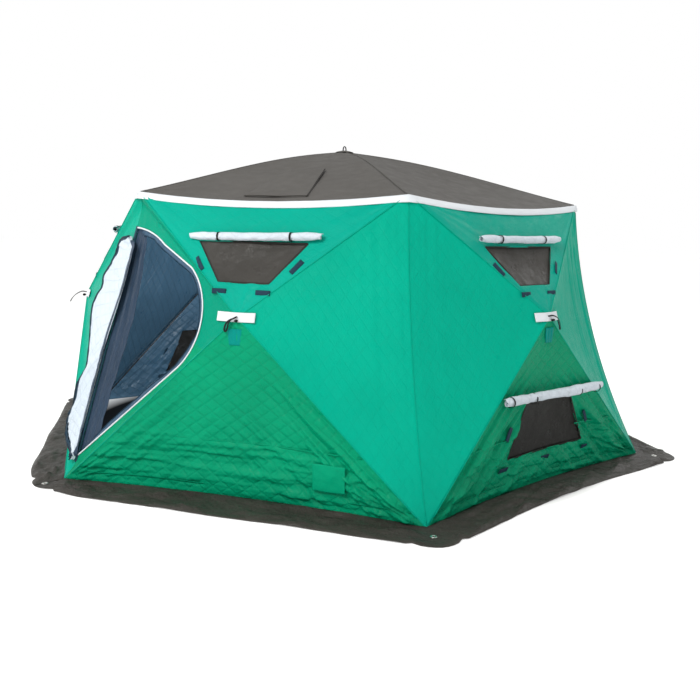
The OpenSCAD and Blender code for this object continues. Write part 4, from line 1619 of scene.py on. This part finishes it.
@dataclass
class Windows:
    """The dark screens, their rolled covers with ties, and the tabs that hold the covers when they are down."""

    finishes: Finishes
    roll_r: float = 0.024
    upper_roll_l: float = 0.790
    lower_roll_l: float = 1.000
    screen_margin: float = 0.012
    tab_l: float = 0.084
    tab_w: float = 0.029
    body: str = "shelter"

    def screens(self) -> None:
        """The screens behind the openings, a little slack."""
        for name, window, at, walls, node in (
            ("upper_screen", UPPER_WINDOW, upper_at, range(1, WALLS + 1), "upper_windows"),
            ("lower_screen", LOWER_WINDOW, lower_at, LOWER_WINDOW_WALLS, "lower_windows"),
        ):
            for wall in walls:
                noise = Noise(700 + wall)

                def place(a: Array, u: Array) -> Array:
                    """The screen's points."""
                    y, z = window.at(a, u, self.screen_margin)
                    slack = 0.004 * noise.layers(a * 3, u * 2) - 0.006 * bump(a) * bump(u)
                    return to_wall(raised(at(y, z), -0.006 + slack), wall)

                height, width = window.top_h - window.low_h, 2 * max(window.top_w, window.low_w)
                bm = sheet_bmesh(48, 24, place, lambda a, u: np.stack([(a - 0.5) * width, u * height], axis=-1))
                face_out(bm)
                piece = link(f"{name}_{wall}", mesh_from(bm, name))
                dress(piece, self.finishes.screen if node == "upper_windows" else self.finishes.dark_screen)
                thicken(piece, 0.0012)
                MAKER.keep(piece, self.body, [node])

    def bindings(self) -> None:
        """A thin dark binding round each opening."""
        for name, window, at, walls in (
            ("upper_window_binding", UPPER_WINDOW, upper_at, range(1, WALLS + 1)),
            ("lower_window_binding", LOWER_WINDOW, lower_at, LOWER_WINDOW_WALLS),
        ):
            runs = []
            corners = ((0, 0), (1, 0), (1, 1), (0, 1), (0, 0))
            for wall in walls:
                for (a0, u0), (a1, u1) in zip(corners, corners[1:]):
                    share = np.linspace(0, 1, 30)
                    y, z = window.at(a0 + (a1 - a0) * share, u0 + (u1 - u0) * share)
                    runs.append(wall_run(at(y, z), wall))
            Tape(0.010, 0.0012, 0.0004).sew(name, runs, self.finishes.roof_line, self.body, "navy_binding")

    def roll(self, name: str, middle: Array, length: float, tilt: float, wall: int, seed: int, node: str,
             fat: float = 1.0) -> None:
        """A cover rolled up in a spiral.

        Args:
            name: The piece's name.
            middle: The roll's centre, in the wall's frame.
            length: Its length.
            tilt: How much its right end sits lower, in metres.
            wall: The wall it hangs on.
            seed: What makes its wrinkles uneven.
            node: The CAD node it stands for.
            fat: How much thicker and lumpier it is than usual.
        """
        noise = Noise(seed)
        turns, inner = 2.35, 0.42

        def place(across: Array, wound: Array) -> Array:
            """The roll's points: across its length and round its spiral."""
            angle = 2 * math.pi * turns * wound
            lumps = 0.08 * fat**3 * noise.layers(across * 7, angle * 0.9)
            wear = fat * (1 + lumps + 0.06 * noise.at(across * 26, angle * 1.7))
            tied = sum(np.exp(-(((across - s) / 0.016) ** 2)) for s in (0.22, 0.78))
            ends = np.exp(-((np.minimum(across, 1 - across) / 0.045) ** 2))
            r = self.roll_r * (inner + (1 - inner) * wound) * (wear - 0.16 * tied) * (1 - 0.30 * ends)
            y = (across - 0.5) * (length + 0.012 * noise.at(wound * 5, wound * 3) - 0.05 * (1 - wound))
            droop = -0.004 * bump(across) - tilt * (across - 0.5)
            droop = droop + 0.008 * (fat - 1) * 3 * noise.at(across * 6, across * 0 + 5)
            x = middle[0] + r * np.cos(angle) + 0.003 * noise.at(across * 5, across * 0)
            z = middle[2] + droop + r * np.sin(angle)
            return to_wall(np.stack([x, middle[1] + y, z], axis=-1), wall)

        spiral = 2 * math.pi * turns * self.roll_r * (inner + 1) / 2
        bm = sheet_bmesh(120, 66, place, lambda a, w: np.stack([a * length, w * spiral], axis=-1))
        bmesh.ops.recalc_face_normals(bm, faces=bm.faces)
        piece = link(name, mesh_from(bm, name))
        dress(piece, self.finishes.roll)
        thicken(piece, 0.0012)
        MAKER.keep(piece, self.body, [node])

    def tie_runs(self, middle: Array, across: Sequence[float], radius: float, wall: int, slope: float) -> list[Run]:
        """Strips round a roll.

        Args:
            middle: The roll's centre, in the wall's frame.
            across: Each strip's distance from the roll's middle.
            radius: The strips' radius.
            wall: The wall the roll hangs on.
            slope: How far the roll drops for each metre across.

        Returns:
            Each strip's path and the way out along it.
        """
        runs = []
        for y in across:
            angle = np.linspace(-0.6 * math.pi, 1.45 * math.pi, 40)
            x, z = middle[0] + radius * np.cos(angle), middle[2] - slope * y + radius * np.sin(angle)
            ring = np.stack([x, np.full_like(angle, middle[1] + y), z], axis=-1)
            out = np.stack([np.cos(angle), np.zeros_like(angle), np.sin(angle)], axis=-1)
            runs.append((to_wall(ring, wall), to_wall(out, wall)))
        return runs

    def covers(self) -> None:
        """All the rolls and their ties."""
        runs = []
        panel_out = np.array([-SHELL.eave_down[2], 0.0, SHELL.eave_down[0]])
        plane = upper_at(np.array([0.0]), np.array([1.432]))[0]
        middle = plane + panel_out * (0.007 + self.roll_r)
        hang = np.array([0, 0, 0.003])
        for wall in range(1, WALLS + 1):
            tilt = -0.014 if wall == 1 else 0.0
            here = middle - np.array([0, 0, 0.014 if wall == 1 else 0.0])
            self.roll(f"upper_roll_{wall}", here, self.upper_roll_l, tilt, wall, 720 + wall, "upper_window_rolls")
            runs += self.tie_runs(here - hang, (-0.215, 0.215), self.roll_r * 0.93, wall, tilt / self.upper_roll_l)
        low = np.array([SHELL.hub_r + 0.054, 0.040, 0.556])
        for wall in LOWER_WINDOW_WALLS:
            fat = 1.25 if wall == 2 else 1.0
            self.roll(f"lower_roll_{wall}", low, self.lower_roll_l, 0.020, wall, 740 + wall, "lower_window_rolls", fat)
            across = (-0.45, -0.235, 0.235, 0.44) if wall == 2 else (-0.235, 0.235)
            runs += self.tie_runs(low - hang, across, self.roll_r * 0.93 * fat, wall, 0.020)
        tape = Tape(0.010, 0.0016, 0.001)
        tape.sew("cover_ties", runs, self.finishes.webbing, self.body, "webbing", ["roll_ties"])

    def tabs(self) -> None:
        """The dark tabs beside and below the windows."""
        runs = []
        side = math.atan2(UPPER_WINDOW.top_h - UPPER_WINDOW.low_h, UPPER_WINDOW.top_w - UPPER_WINDOW.low_w)
        low_side = math.atan2(LOWER_WINDOW.top_h - LOWER_WINDOW.low_h, LOWER_WINDOW.top_w - LOWER_WINDOW.low_w)
        upper = ((0.275, 1.276, side), (-0.301, 1.276, -side), (0.115, 1.136, 0.0), (-0.141, 1.136, 0.0))
        lower = ((0.435, 0.362, low_side), (-0.345, 0.362, -low_side), (0.469, 0.160, 0.0), (-0.379, 0.160, 0.0),
                 (0.045, 0.160, 0.0))
        for walls, places, at in ((range(1, WALLS + 1), upper, upper_at), (LOWER_WINDOW_WALLS, lower, lower_at)):
            for wall in walls:
                for y, z, lean in places:
                    share = self.tab_l * np.linspace(-0.5, 0.5, 9)
                    plain = at(y + share * math.cos(lean), z + share * math.sin(lean))
                    runs.append(wall_run(plain, wall))
        tape = Tape(self.tab_w, 0.0025, 0.004, 0.001)
        piece = tape.build("cover_tabs", runs, self.finishes.navy)
        MAKER.keep(piece, self.body, ["window_tabs"])

    def build(self) -> None:
        """Make all of it."""
        self.screens()
        self.bindings()
        self.covers()
        self.tabs()


# ---------------------------------------------------------------- trim, frame and eyelets


@dataclass
class Trim:
    """What is sewn or moulded on outside: seams, hub patches, pull straps, the roof's cap and patch, eyelets."""

    finishes: Finishes
    hub_patch: tuple[float, float] = (0.224, 0.050)
    pleat: tuple[float, float] = (0.085, 0.088)
    cap_w: float = 0.052
    port: tuple[float, float] = (0.184, 0.146)
    body: str = "shelter"

    def seams(self) -> None:
        """Rolled seams where panels meet, over the rods."""
        share = np.linspace(0.0, 1.0, 60)
        green, dark = [], []
        for wall in range(1, WALLS + 1):
            for side in (-1, 1):
                for end in (SHELL.eave_corner(side), SHELL.base_corner(side)):
                    line = mix(SHELL.hub, end, 0.02 + 0.93 * share)
                    green.append(to_wall(raised(line, 0.0012), wall))
            if wall != 1:
                line = SHELL.seam(-1, 0.03 + 0.96 * share)
                green.append(to_wall(raised(line, 0.001), wall))
            dark.append(to_wall(raised(SHELL.ridge(-1, 0.02 + 0.975 * share), 0.001), wall))
        piece = tube("wall_seams", green, 0.0022, 6)
        dress(piece, self.finishes.taut)
        MAKER.keep(piece, self.body)
        piece = tube("roof_seams", dark, 0.0022, 6)
        dress(piece, self.finishes.roof)
        MAKER.keep(piece, self.body)

    def cross_seams(self) -> None:
        """The taped seam across each lower panel and the one above its hem."""
        runs = []
        for wall in range(1, WALLS + 1):
            for z in (0.322, 0.070):
                reach = (SHELL.hub_h - z) / SHELL.hub_h * SHELL.base_r / 2 - 0.012
                if wall in LOWER_WINDOW_WALLS and z > 0.2:
                    inner = LOWER_WINDOW.low_w - 0.045
                    spans = ((-reach, -inner), (inner, reach))
                else:
                    spans = ((-reach, reach),)
                for start, stop in spans:
                    y = np.linspace(start, stop, 80)
                    plain = lower_at(y, np.full_like(y, z) + 0.003 * np.sin(y * 9))
                    runs.append(wall_run(plain, wall))
        tape = Tape(0.010, 0.001, 0.0012, 0.0008)
        tape.sew("lower_cross_seams", runs, self.finishes.quilted, self.body, "quilted_shell")

    def hub_patches(self) -> None:
        """The white patch over each hub."""
        whole, (width, height) = empty_sheet(), self.hub_patch
        for wall in range(1, WALLS + 1):

            def place(a: Array, u: Array) -> Array:
                """The patch's points, puffed a little."""
                y, z = (a - 0.5) * width - (0.016 if wall == 1 else 0.0), SHELL.hub_h + (u - 0.5) * height
                plain = near_hub(y, z)
                return to_wall(raised(plain, 0.0045 + 0.0025 * bump(a) * bump(u)), wall)

            bm = sheet_bmesh(28, 10, place, lambda a, u: np.stack([a * width, u * height], axis=-1))
            face_out(bm)
            join(whole, bm)
        piece = link("hub_patch_cloth", mesh_from(whole, "hub_patch_cloth"))
        dress(piece, self.finishes.tape)
        thicken(piece, 0.0025)
        MAKER.keep(piece, self.body, ["hub_patches"])

    def pleats(self) -> None:
        """The small pleated patch below each hub, on the lower panel."""
        whole, (width, height) = empty_sheet(), self.pleat
        for wall in range(1, WALLS + 1):

            def place(a: Array, u: Array) -> Array:
                """The patch's points, in upright pleats that open downwards."""
                y = (a - 0.5) * (width - 0.020 * (1 - u)) - (0.012 if wall == 1 else 0.0)
                z = SHELL.hub_h - 0.150 + height * u
                pleat = 0.0035 * np.abs(np.sin(a * 3 * math.pi)) * (0.4 + 0.6 * u)
                return to_wall(raised(lower_at(y, z), 0.006 + pleat), wall)

            bm = sheet_bmesh(36, 12, place, lambda a, u: np.stack([a * width, u * height], axis=-1))
            face_out(bm)
            join(whole, bm)
        piece = link("hub_pleats", mesh_from(whole, "hub_pleats"))
        dress(piece, self.finishes.pleat)
        thicken(piece, 0.0015)
        MAKER.keep(piece, self.body)

    def pulls(self) -> None:
        """A webbing pull at each hub, looped and knotted, and the loop at the peak."""
        runs = []
        shapes = {
            1: ((0.010, 0.004, 0.006), (0.020, -0.012, -0.004), (0.018, -0.036, -0.014), (0.018, -0.056, -0.034),
                (0.019, -0.066, -0.062), (0.021, -0.058, -0.076), (0.022, -0.048, -0.060), (0.024, -0.040, -0.030),
                (0.024, -0.022, -0.008)),
            2: ((0.010, -0.030, 0.006), (0.024, 0.000, 0.010), (0.032, 0.034, -0.004), (0.030, 0.062, -0.030),
                (0.026, 0.078, -0.062), (0.028, 0.070, -0.074), (0.032, 0.058, -0.052), (0.034, 0.036, -0.018)),
            6: ((0.004, 0.000, 0.004), (0.040, -0.004, 0.006), (0.078, -0.010, -0.014), (0.108, -0.016, -0.046),
                (0.118, -0.018, -0.066)),
        }
        usual = ((0.004, 0.0, 0.004), (0.020, 0.0, -0.010), (0.021, 0.003, -0.045), (0.016, 0.004, -0.080),
                 (0.019, 0.006, -0.108))
        for wall in range(1, WALLS + 1):
            path = SHELL.hub + smooth_line(shapes.get(wall, usual), 60)
            twist = np.linspace(0, 5, 60)
            out = unit(np.stack([0.6 + 0 * twist, 0.25 * np.sin(twist), 0.55 + 0 * twist], axis=-1))
            runs.append((to_wall(path, wall), to_wall(out, wall)))
        turn = np.linspace(0, math.pi, 24)
        top = np.stack([0.016 * np.cos(turn), 0 * turn, SHELL.peak_h + 0.012 + 0.030 * np.sin(turn)], axis=-1)
        runs.append((top, unit(np.stack([np.cos(turn), 0 * turn, np.sin(turn)], axis=-1))))
        tape = Tape(0.010, 0.0030, 0.0005, 0.0012)
        tape.sew("pull_loops", runs, self.finishes.webbing, self.body, "webbing", ["pull_straps"], "hung")
        knots = bmesh.new()
        for wall in range(1, WALLS + 1):
            ball = bmesh.new()
            bmesh.ops.create_icosphere(ball, subdivisions=3, radius=0.010)
            noise = Noise(760 + wall)
            for v in ball.verts:
                bulge = 1 + 0.18 * float(noise.at(np.array(v.co.x * 160), np.array(v.co.z * 160 + v.co.y * 90)))
                v.co = Vector((v.co.x * bulge, v.co.y * bulge * 1.1, v.co.z * bulge * 0.8))
            place = to_wall(SHELL.hub + np.array([0.022, 0.004, -0.016]), wall)
            bmesh.ops.translate(ball, verts=ball.verts, vec=Vector(place))
            join(knots, ball)
        piece = link("pull_knots", mesh_from(knots, "pull_knots"))
        dress(piece, self.finishes.webbing)
        MAKER.keep(piece, self.body)

    def roof_cap(self) -> None:
        """The stitched cap over the peak."""

        def place(around: Array, out: Array) -> Array:
            """The cap's points."""
            angle = 2 * math.pi * around
            r = 0.014 + self.cap_w * out
            z = SHELL.peak_h + 0.012 - 0.010 * out - 0.004 * out**4 + 0.001 * np.sin(6 * angle) * out
            return np.stack([r * np.cos(angle), r * np.sin(angle), z], axis=-1)

        bm = sheet_bmesh(72, 10, place, lambda a, o: np.stack([a * 0.3, o * self.cap_w], axis=-1))
        close_poles(bm)
        inner = [e for e in bm.edges if e.is_boundary and e.calc_length() < 0.002]
        bmesh.ops.holes_fill(bm, edges=inner, sides=80)
        face_out(bm)
        piece = link("roof_cap", mesh_from(bm, "roof_cap"))
        dress(piece, self.finishes.roof)
        thicken(piece, 0.002)
        MAKER.keep(piece, self.body, ["hub_patches"])

    def roof_patch(self) -> None:
        """The patch over the vent on the roof's first sector, with a dark line along its lower and right edges."""
        noise = Noise(780)

        def place(a: Array, d: Array) -> Array:
            """The patch's points."""
            across, down = 0.39 + 0.255 * a, 0.55 + 0.39 * d
            puff = 0.004 * bump(a) * bump(d) + 0.002 * noise.layers(a * 4, d * 5)
            return to_wall(raised(SHELL.roof(across, down), 0.004 + puff * bump(a) ** 0.3), 1)

        bm = sheet_bmesh(30, 40, place, lambda a, d: np.stack([a * 0.32, d * 0.56], axis=-1))
        face_out(bm)
        piece = link("roof_patch_cloth", mesh_from(bm, "roof_patch_cloth"))
        dress(piece, self.finishes.roof)
        thicken(piece, 0.0015)
        MAKER.keep(piece, self.body, ["roof_patch"])
        share = np.linspace(0, 1, 40)
        wave = 0.010 * np.sin(share * 9) * bump(share)
        edges = [place(share, 0.985 - wave), place(np.full(40, 0.985), share)]
        piece = tube("roof_patch_edge", [raised(e, 0.001) for e in edges], 0.0028, 6)
        dress(piece, self.finishes.roof_line)
        MAKER.keep(piece, self.body)

    def port_cover(self) -> None:
        """The square cover low on wall 1, sewn flat."""
        noise, (width, height) = Noise(790), self.port

        def place(a: Array, u: Array) -> Array:
            """The cover's points."""
            y, z = 0.442 + width * a, 0.124 + height * u
            puff = 0.004 * bump(a) * bump(u) + 0.003 * noise.layers(a * 3, u * 3) * bump(a)
            return to_wall(raised(lower_at(y, z), 0.021 + puff), 1)

        bm = sheet_bmesh(24, 20, place, lambda a, u: np.stack([a * width, u * height], axis=-1))
        face_out(bm)
        piece = link("port_cover_cloth", mesh_from(bm, "port_cover_cloth"))
        dress(piece, self.finishes.cover)
        thicken(piece, 0.003)
        MAKER.keep(piece, self.body, ["port_cover"])

    def eyelets(self) -> None:
        """Plated eyelets at the skirt's corners."""
        whole = bmesh.new()
        for corner in range(1, WALLS + 1):
            place = polar(EYELET_R, corner_angle(corner), 0.0)
            turn, dome = np.linspace(0, 2 * math.pi, 49), np.linspace(0, math.pi, 9)

            def skin(around: Array, over: Array) -> Array:
                """Points of the rolled ring."""
                a, b = np.interp(around, np.linspace(0, 1, 49), turn), np.interp(over, np.linspace(0, 1, 9), dome)
                r = 0.0130 + 0.0056 * np.cos(b)
                return place + np.stack([r * np.cos(a), r * np.sin(a), 0.0046 + 0.0030 * np.sin(b)], axis=-1)

            bm = sheet_bmesh(48, 8, skin)
            close_poles(bm)
            face_out(bm, (0, 0, -50))
            join(whole, bm)
        piece = link("eyelets", mesh_from(whole, "eyelets"))
        dress(piece, self.finishes.metal)
        thicken(piece, 0.0012)
        MAKER.keep(piece, self.body, ["grommets"])

    def frame_parts(self) -> None:
        """The CAD hubs, rods and pockets keep their shape and get their materials."""
        for node, material in (
            ("hubs", self.finishes.plastic),
            ("upper_wall_rods", self.finishes.rod),
            ("lower_wall_rods", self.finishes.rod),
            ("roof_rods", self.finishes.rod),
            ("rod_pockets", self.finishes.webbing),
        ):
            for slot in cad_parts[node].material_slots:
                slot.material = material

    def build(self) -> None:
        """Make all of it."""
        self.seams()
        self.cross_seams()
        self.hub_patches()
        self.pleats()
        self.pulls()
        self.roof_cap()
        self.roof_patch()
        self.port_cover()
        self.eyelets()
        self.frame_parts()


# ---------------------------------------------------------------- floor, light and camera


@dataclass
class Studio:
    """A pale floor and backdrop, soft light and the camera."""

    floor_half: float = 60.0

    def floor(self) -> None:
        """A wide pale floor that glows evenly, with painted shade: it is dark under the shelter."""
        bm = bmesh.new()
        bmesh.ops.create_grid(bm, x_segments=2, y_segments=2, size=self.floor_half)
        floor = link("floor", mesh_from(bm, "floor"))
        nodes = Nodes("pale_floor")
        far = nodes.add("ShaderNodeVectorMath", operation="LENGTH")
        nodes.join(nodes.chart(Chart.SPACE), far.inputs[0])
        # Painted shade: within about 2.08 m of the middle the floor is near black and does not glow, for the shade
        # under the shelter.
        shade = [(0.0, (0.0,) * 3), (0.0346, (0.0,) * 3), (0.0349, (1.0,) * 3)]
        outside_painted_shade = nodes.ramp(nodes.math("DIVIDE", far.outputs["Value"], self.floor_half), shade)
        nodes.join(nodes.math("MULTIPLY", outside_painted_shade, 0.48), nodes.shader.inputs["Emission Strength"])
        colour = nodes.ramp(outside_painted_shade, [(0.0, (0.02, 0.02, 0.022)), (1.0, (0.72, 0.72, 0.71))])
        nodes.join(colour, nodes.shader.inputs["Base Color"])
        nodes.shader.inputs["Roughness"].default_value = 0.9
        nodes.shader.inputs["Specular IOR Level"].default_value = 0.1
        nodes.shader.inputs["Emission Color"].default_value = (1, 1, 1, 1)
        dress(floor, nodes.material)

    def lamp(self, name: str, place: Sequence[float], size: float, power: float, colour: Colour = (1, 1, 1),
             aim: Sequence[float] = (0, 0, 0.9)) -> None:
        """A square soft lamp that points at the shelter.

        Args:
            name: The lamp's name.
            place: Where it stands.
            size: Its side in metres.
            power: Its power in watts.
            colour: Its colour.
            aim: What it points at.
        """
        light = bpy.data.lights.new(name, "AREA")
        light.size, light.energy, light.color = size, power, colour
        lamp = bpy.data.objects.new(name, light)
        lamp.location = place
        lamp.visible_camera = False
        lamp.rotation_euler = (Vector(aim) - Vector(place)).to_track_quat("-Z", "Y").to_euler()
        bpy.context.scene.collection.objects.link(lamp)

    def lights(self) -> None:
        """A broad key from the front right, a fill from the left, a lamp behind, one inside, and a pale sky."""
        self.lamp("key", (2.2, -7.4, 6.2), 3.2, 560, (1.0, 0.99, 0.97))
        self.lamp("fill", (-5.5, -4.5, 4.5), 5.0, 110)
        self.lamp("back", (1.0, 6.5, 5.5), 4.0, 160)
        self.lamp("inside", (0.75, -0.35, 1.25), 0.7, 46, (0.90, 0.96, 1.0), (-1.8, 0.1, 1.1))
        world = bpy.data.worlds.new("studio")
        world.use_nodes = True
        nodes, links = world.node_tree.nodes, world.node_tree.links
        seen, strength = nodes.new("ShaderNodeLightPath"), nodes.new("ShaderNodeMapRange")
        strength.inputs["To Min"].default_value, strength.inputs["To Max"].default_value = 0.72, 1.0
        links.new(seen.outputs["Is Camera Ray"], strength.inputs["Value"])
        links.new(strength.outputs["Result"], nodes["Background"].inputs["Strength"])
        nodes["Background"].inputs["Color"].default_value = (1.0, 1.0, 1.0, 1)
        bpy.context.scene.world = world
        bpy.context.scene.view_settings.view_transform = "Standard"

    def camera(self) -> None:
        """The camera, a little above eye height, looking at the door's corner from the right."""
        yaw, pitch, roll = (math.radians(d) for d in (0.712 - 47.795, 8.75, 1.345))
        ahead = Vector((math.sin(yaw) * math.cos(pitch), math.cos(yaw) * math.cos(pitch), -math.sin(pitch)))
        right = Vector((math.cos(yaw), -math.sin(yaw), 0))
        up = right.cross(ahead)
        x = right * math.cos(roll) + up * math.sin(roll)
        y = up * math.cos(roll) - right * math.sin(roll)
        data = bpy.data.cameras.new("camera")
        data.lens, data.sensor_width = 40.89, 36.0
        data.clip_end = 200
        camera = bpy.data.objects.new("camera", data)
        turn = Matrix((x, y, -ahead)).transposed().to_4x4()
        camera.matrix_world = Matrix.Translation((4.383, -3.975, 1.492)) @ turn
        bpy.context.scene.collection.objects.link(camera)
        bpy.context.scene.camera = camera

    def build(self) -> None:
        """Set up all of it."""
        self.camera()
        self.floor()
        self.lights()


def main() -> None:
    """Build the shelter's looks around its CAD frame."""
    logging.basicConfig(level=logging.INFO, format="%(name)s: %(message)s")
    finishes = Finishes()
    for part in (Studio(), WallPanels(finishes), Roof(finishes), Skirt(finishes), DoorFrame(finishes),
                 DoorFlap(finishes), Windows(finishes), Trim(finishes)):
        part.build()
    LOG.info("%d pieces", MAKER.count)


if __name__ == "__main__":
    main()
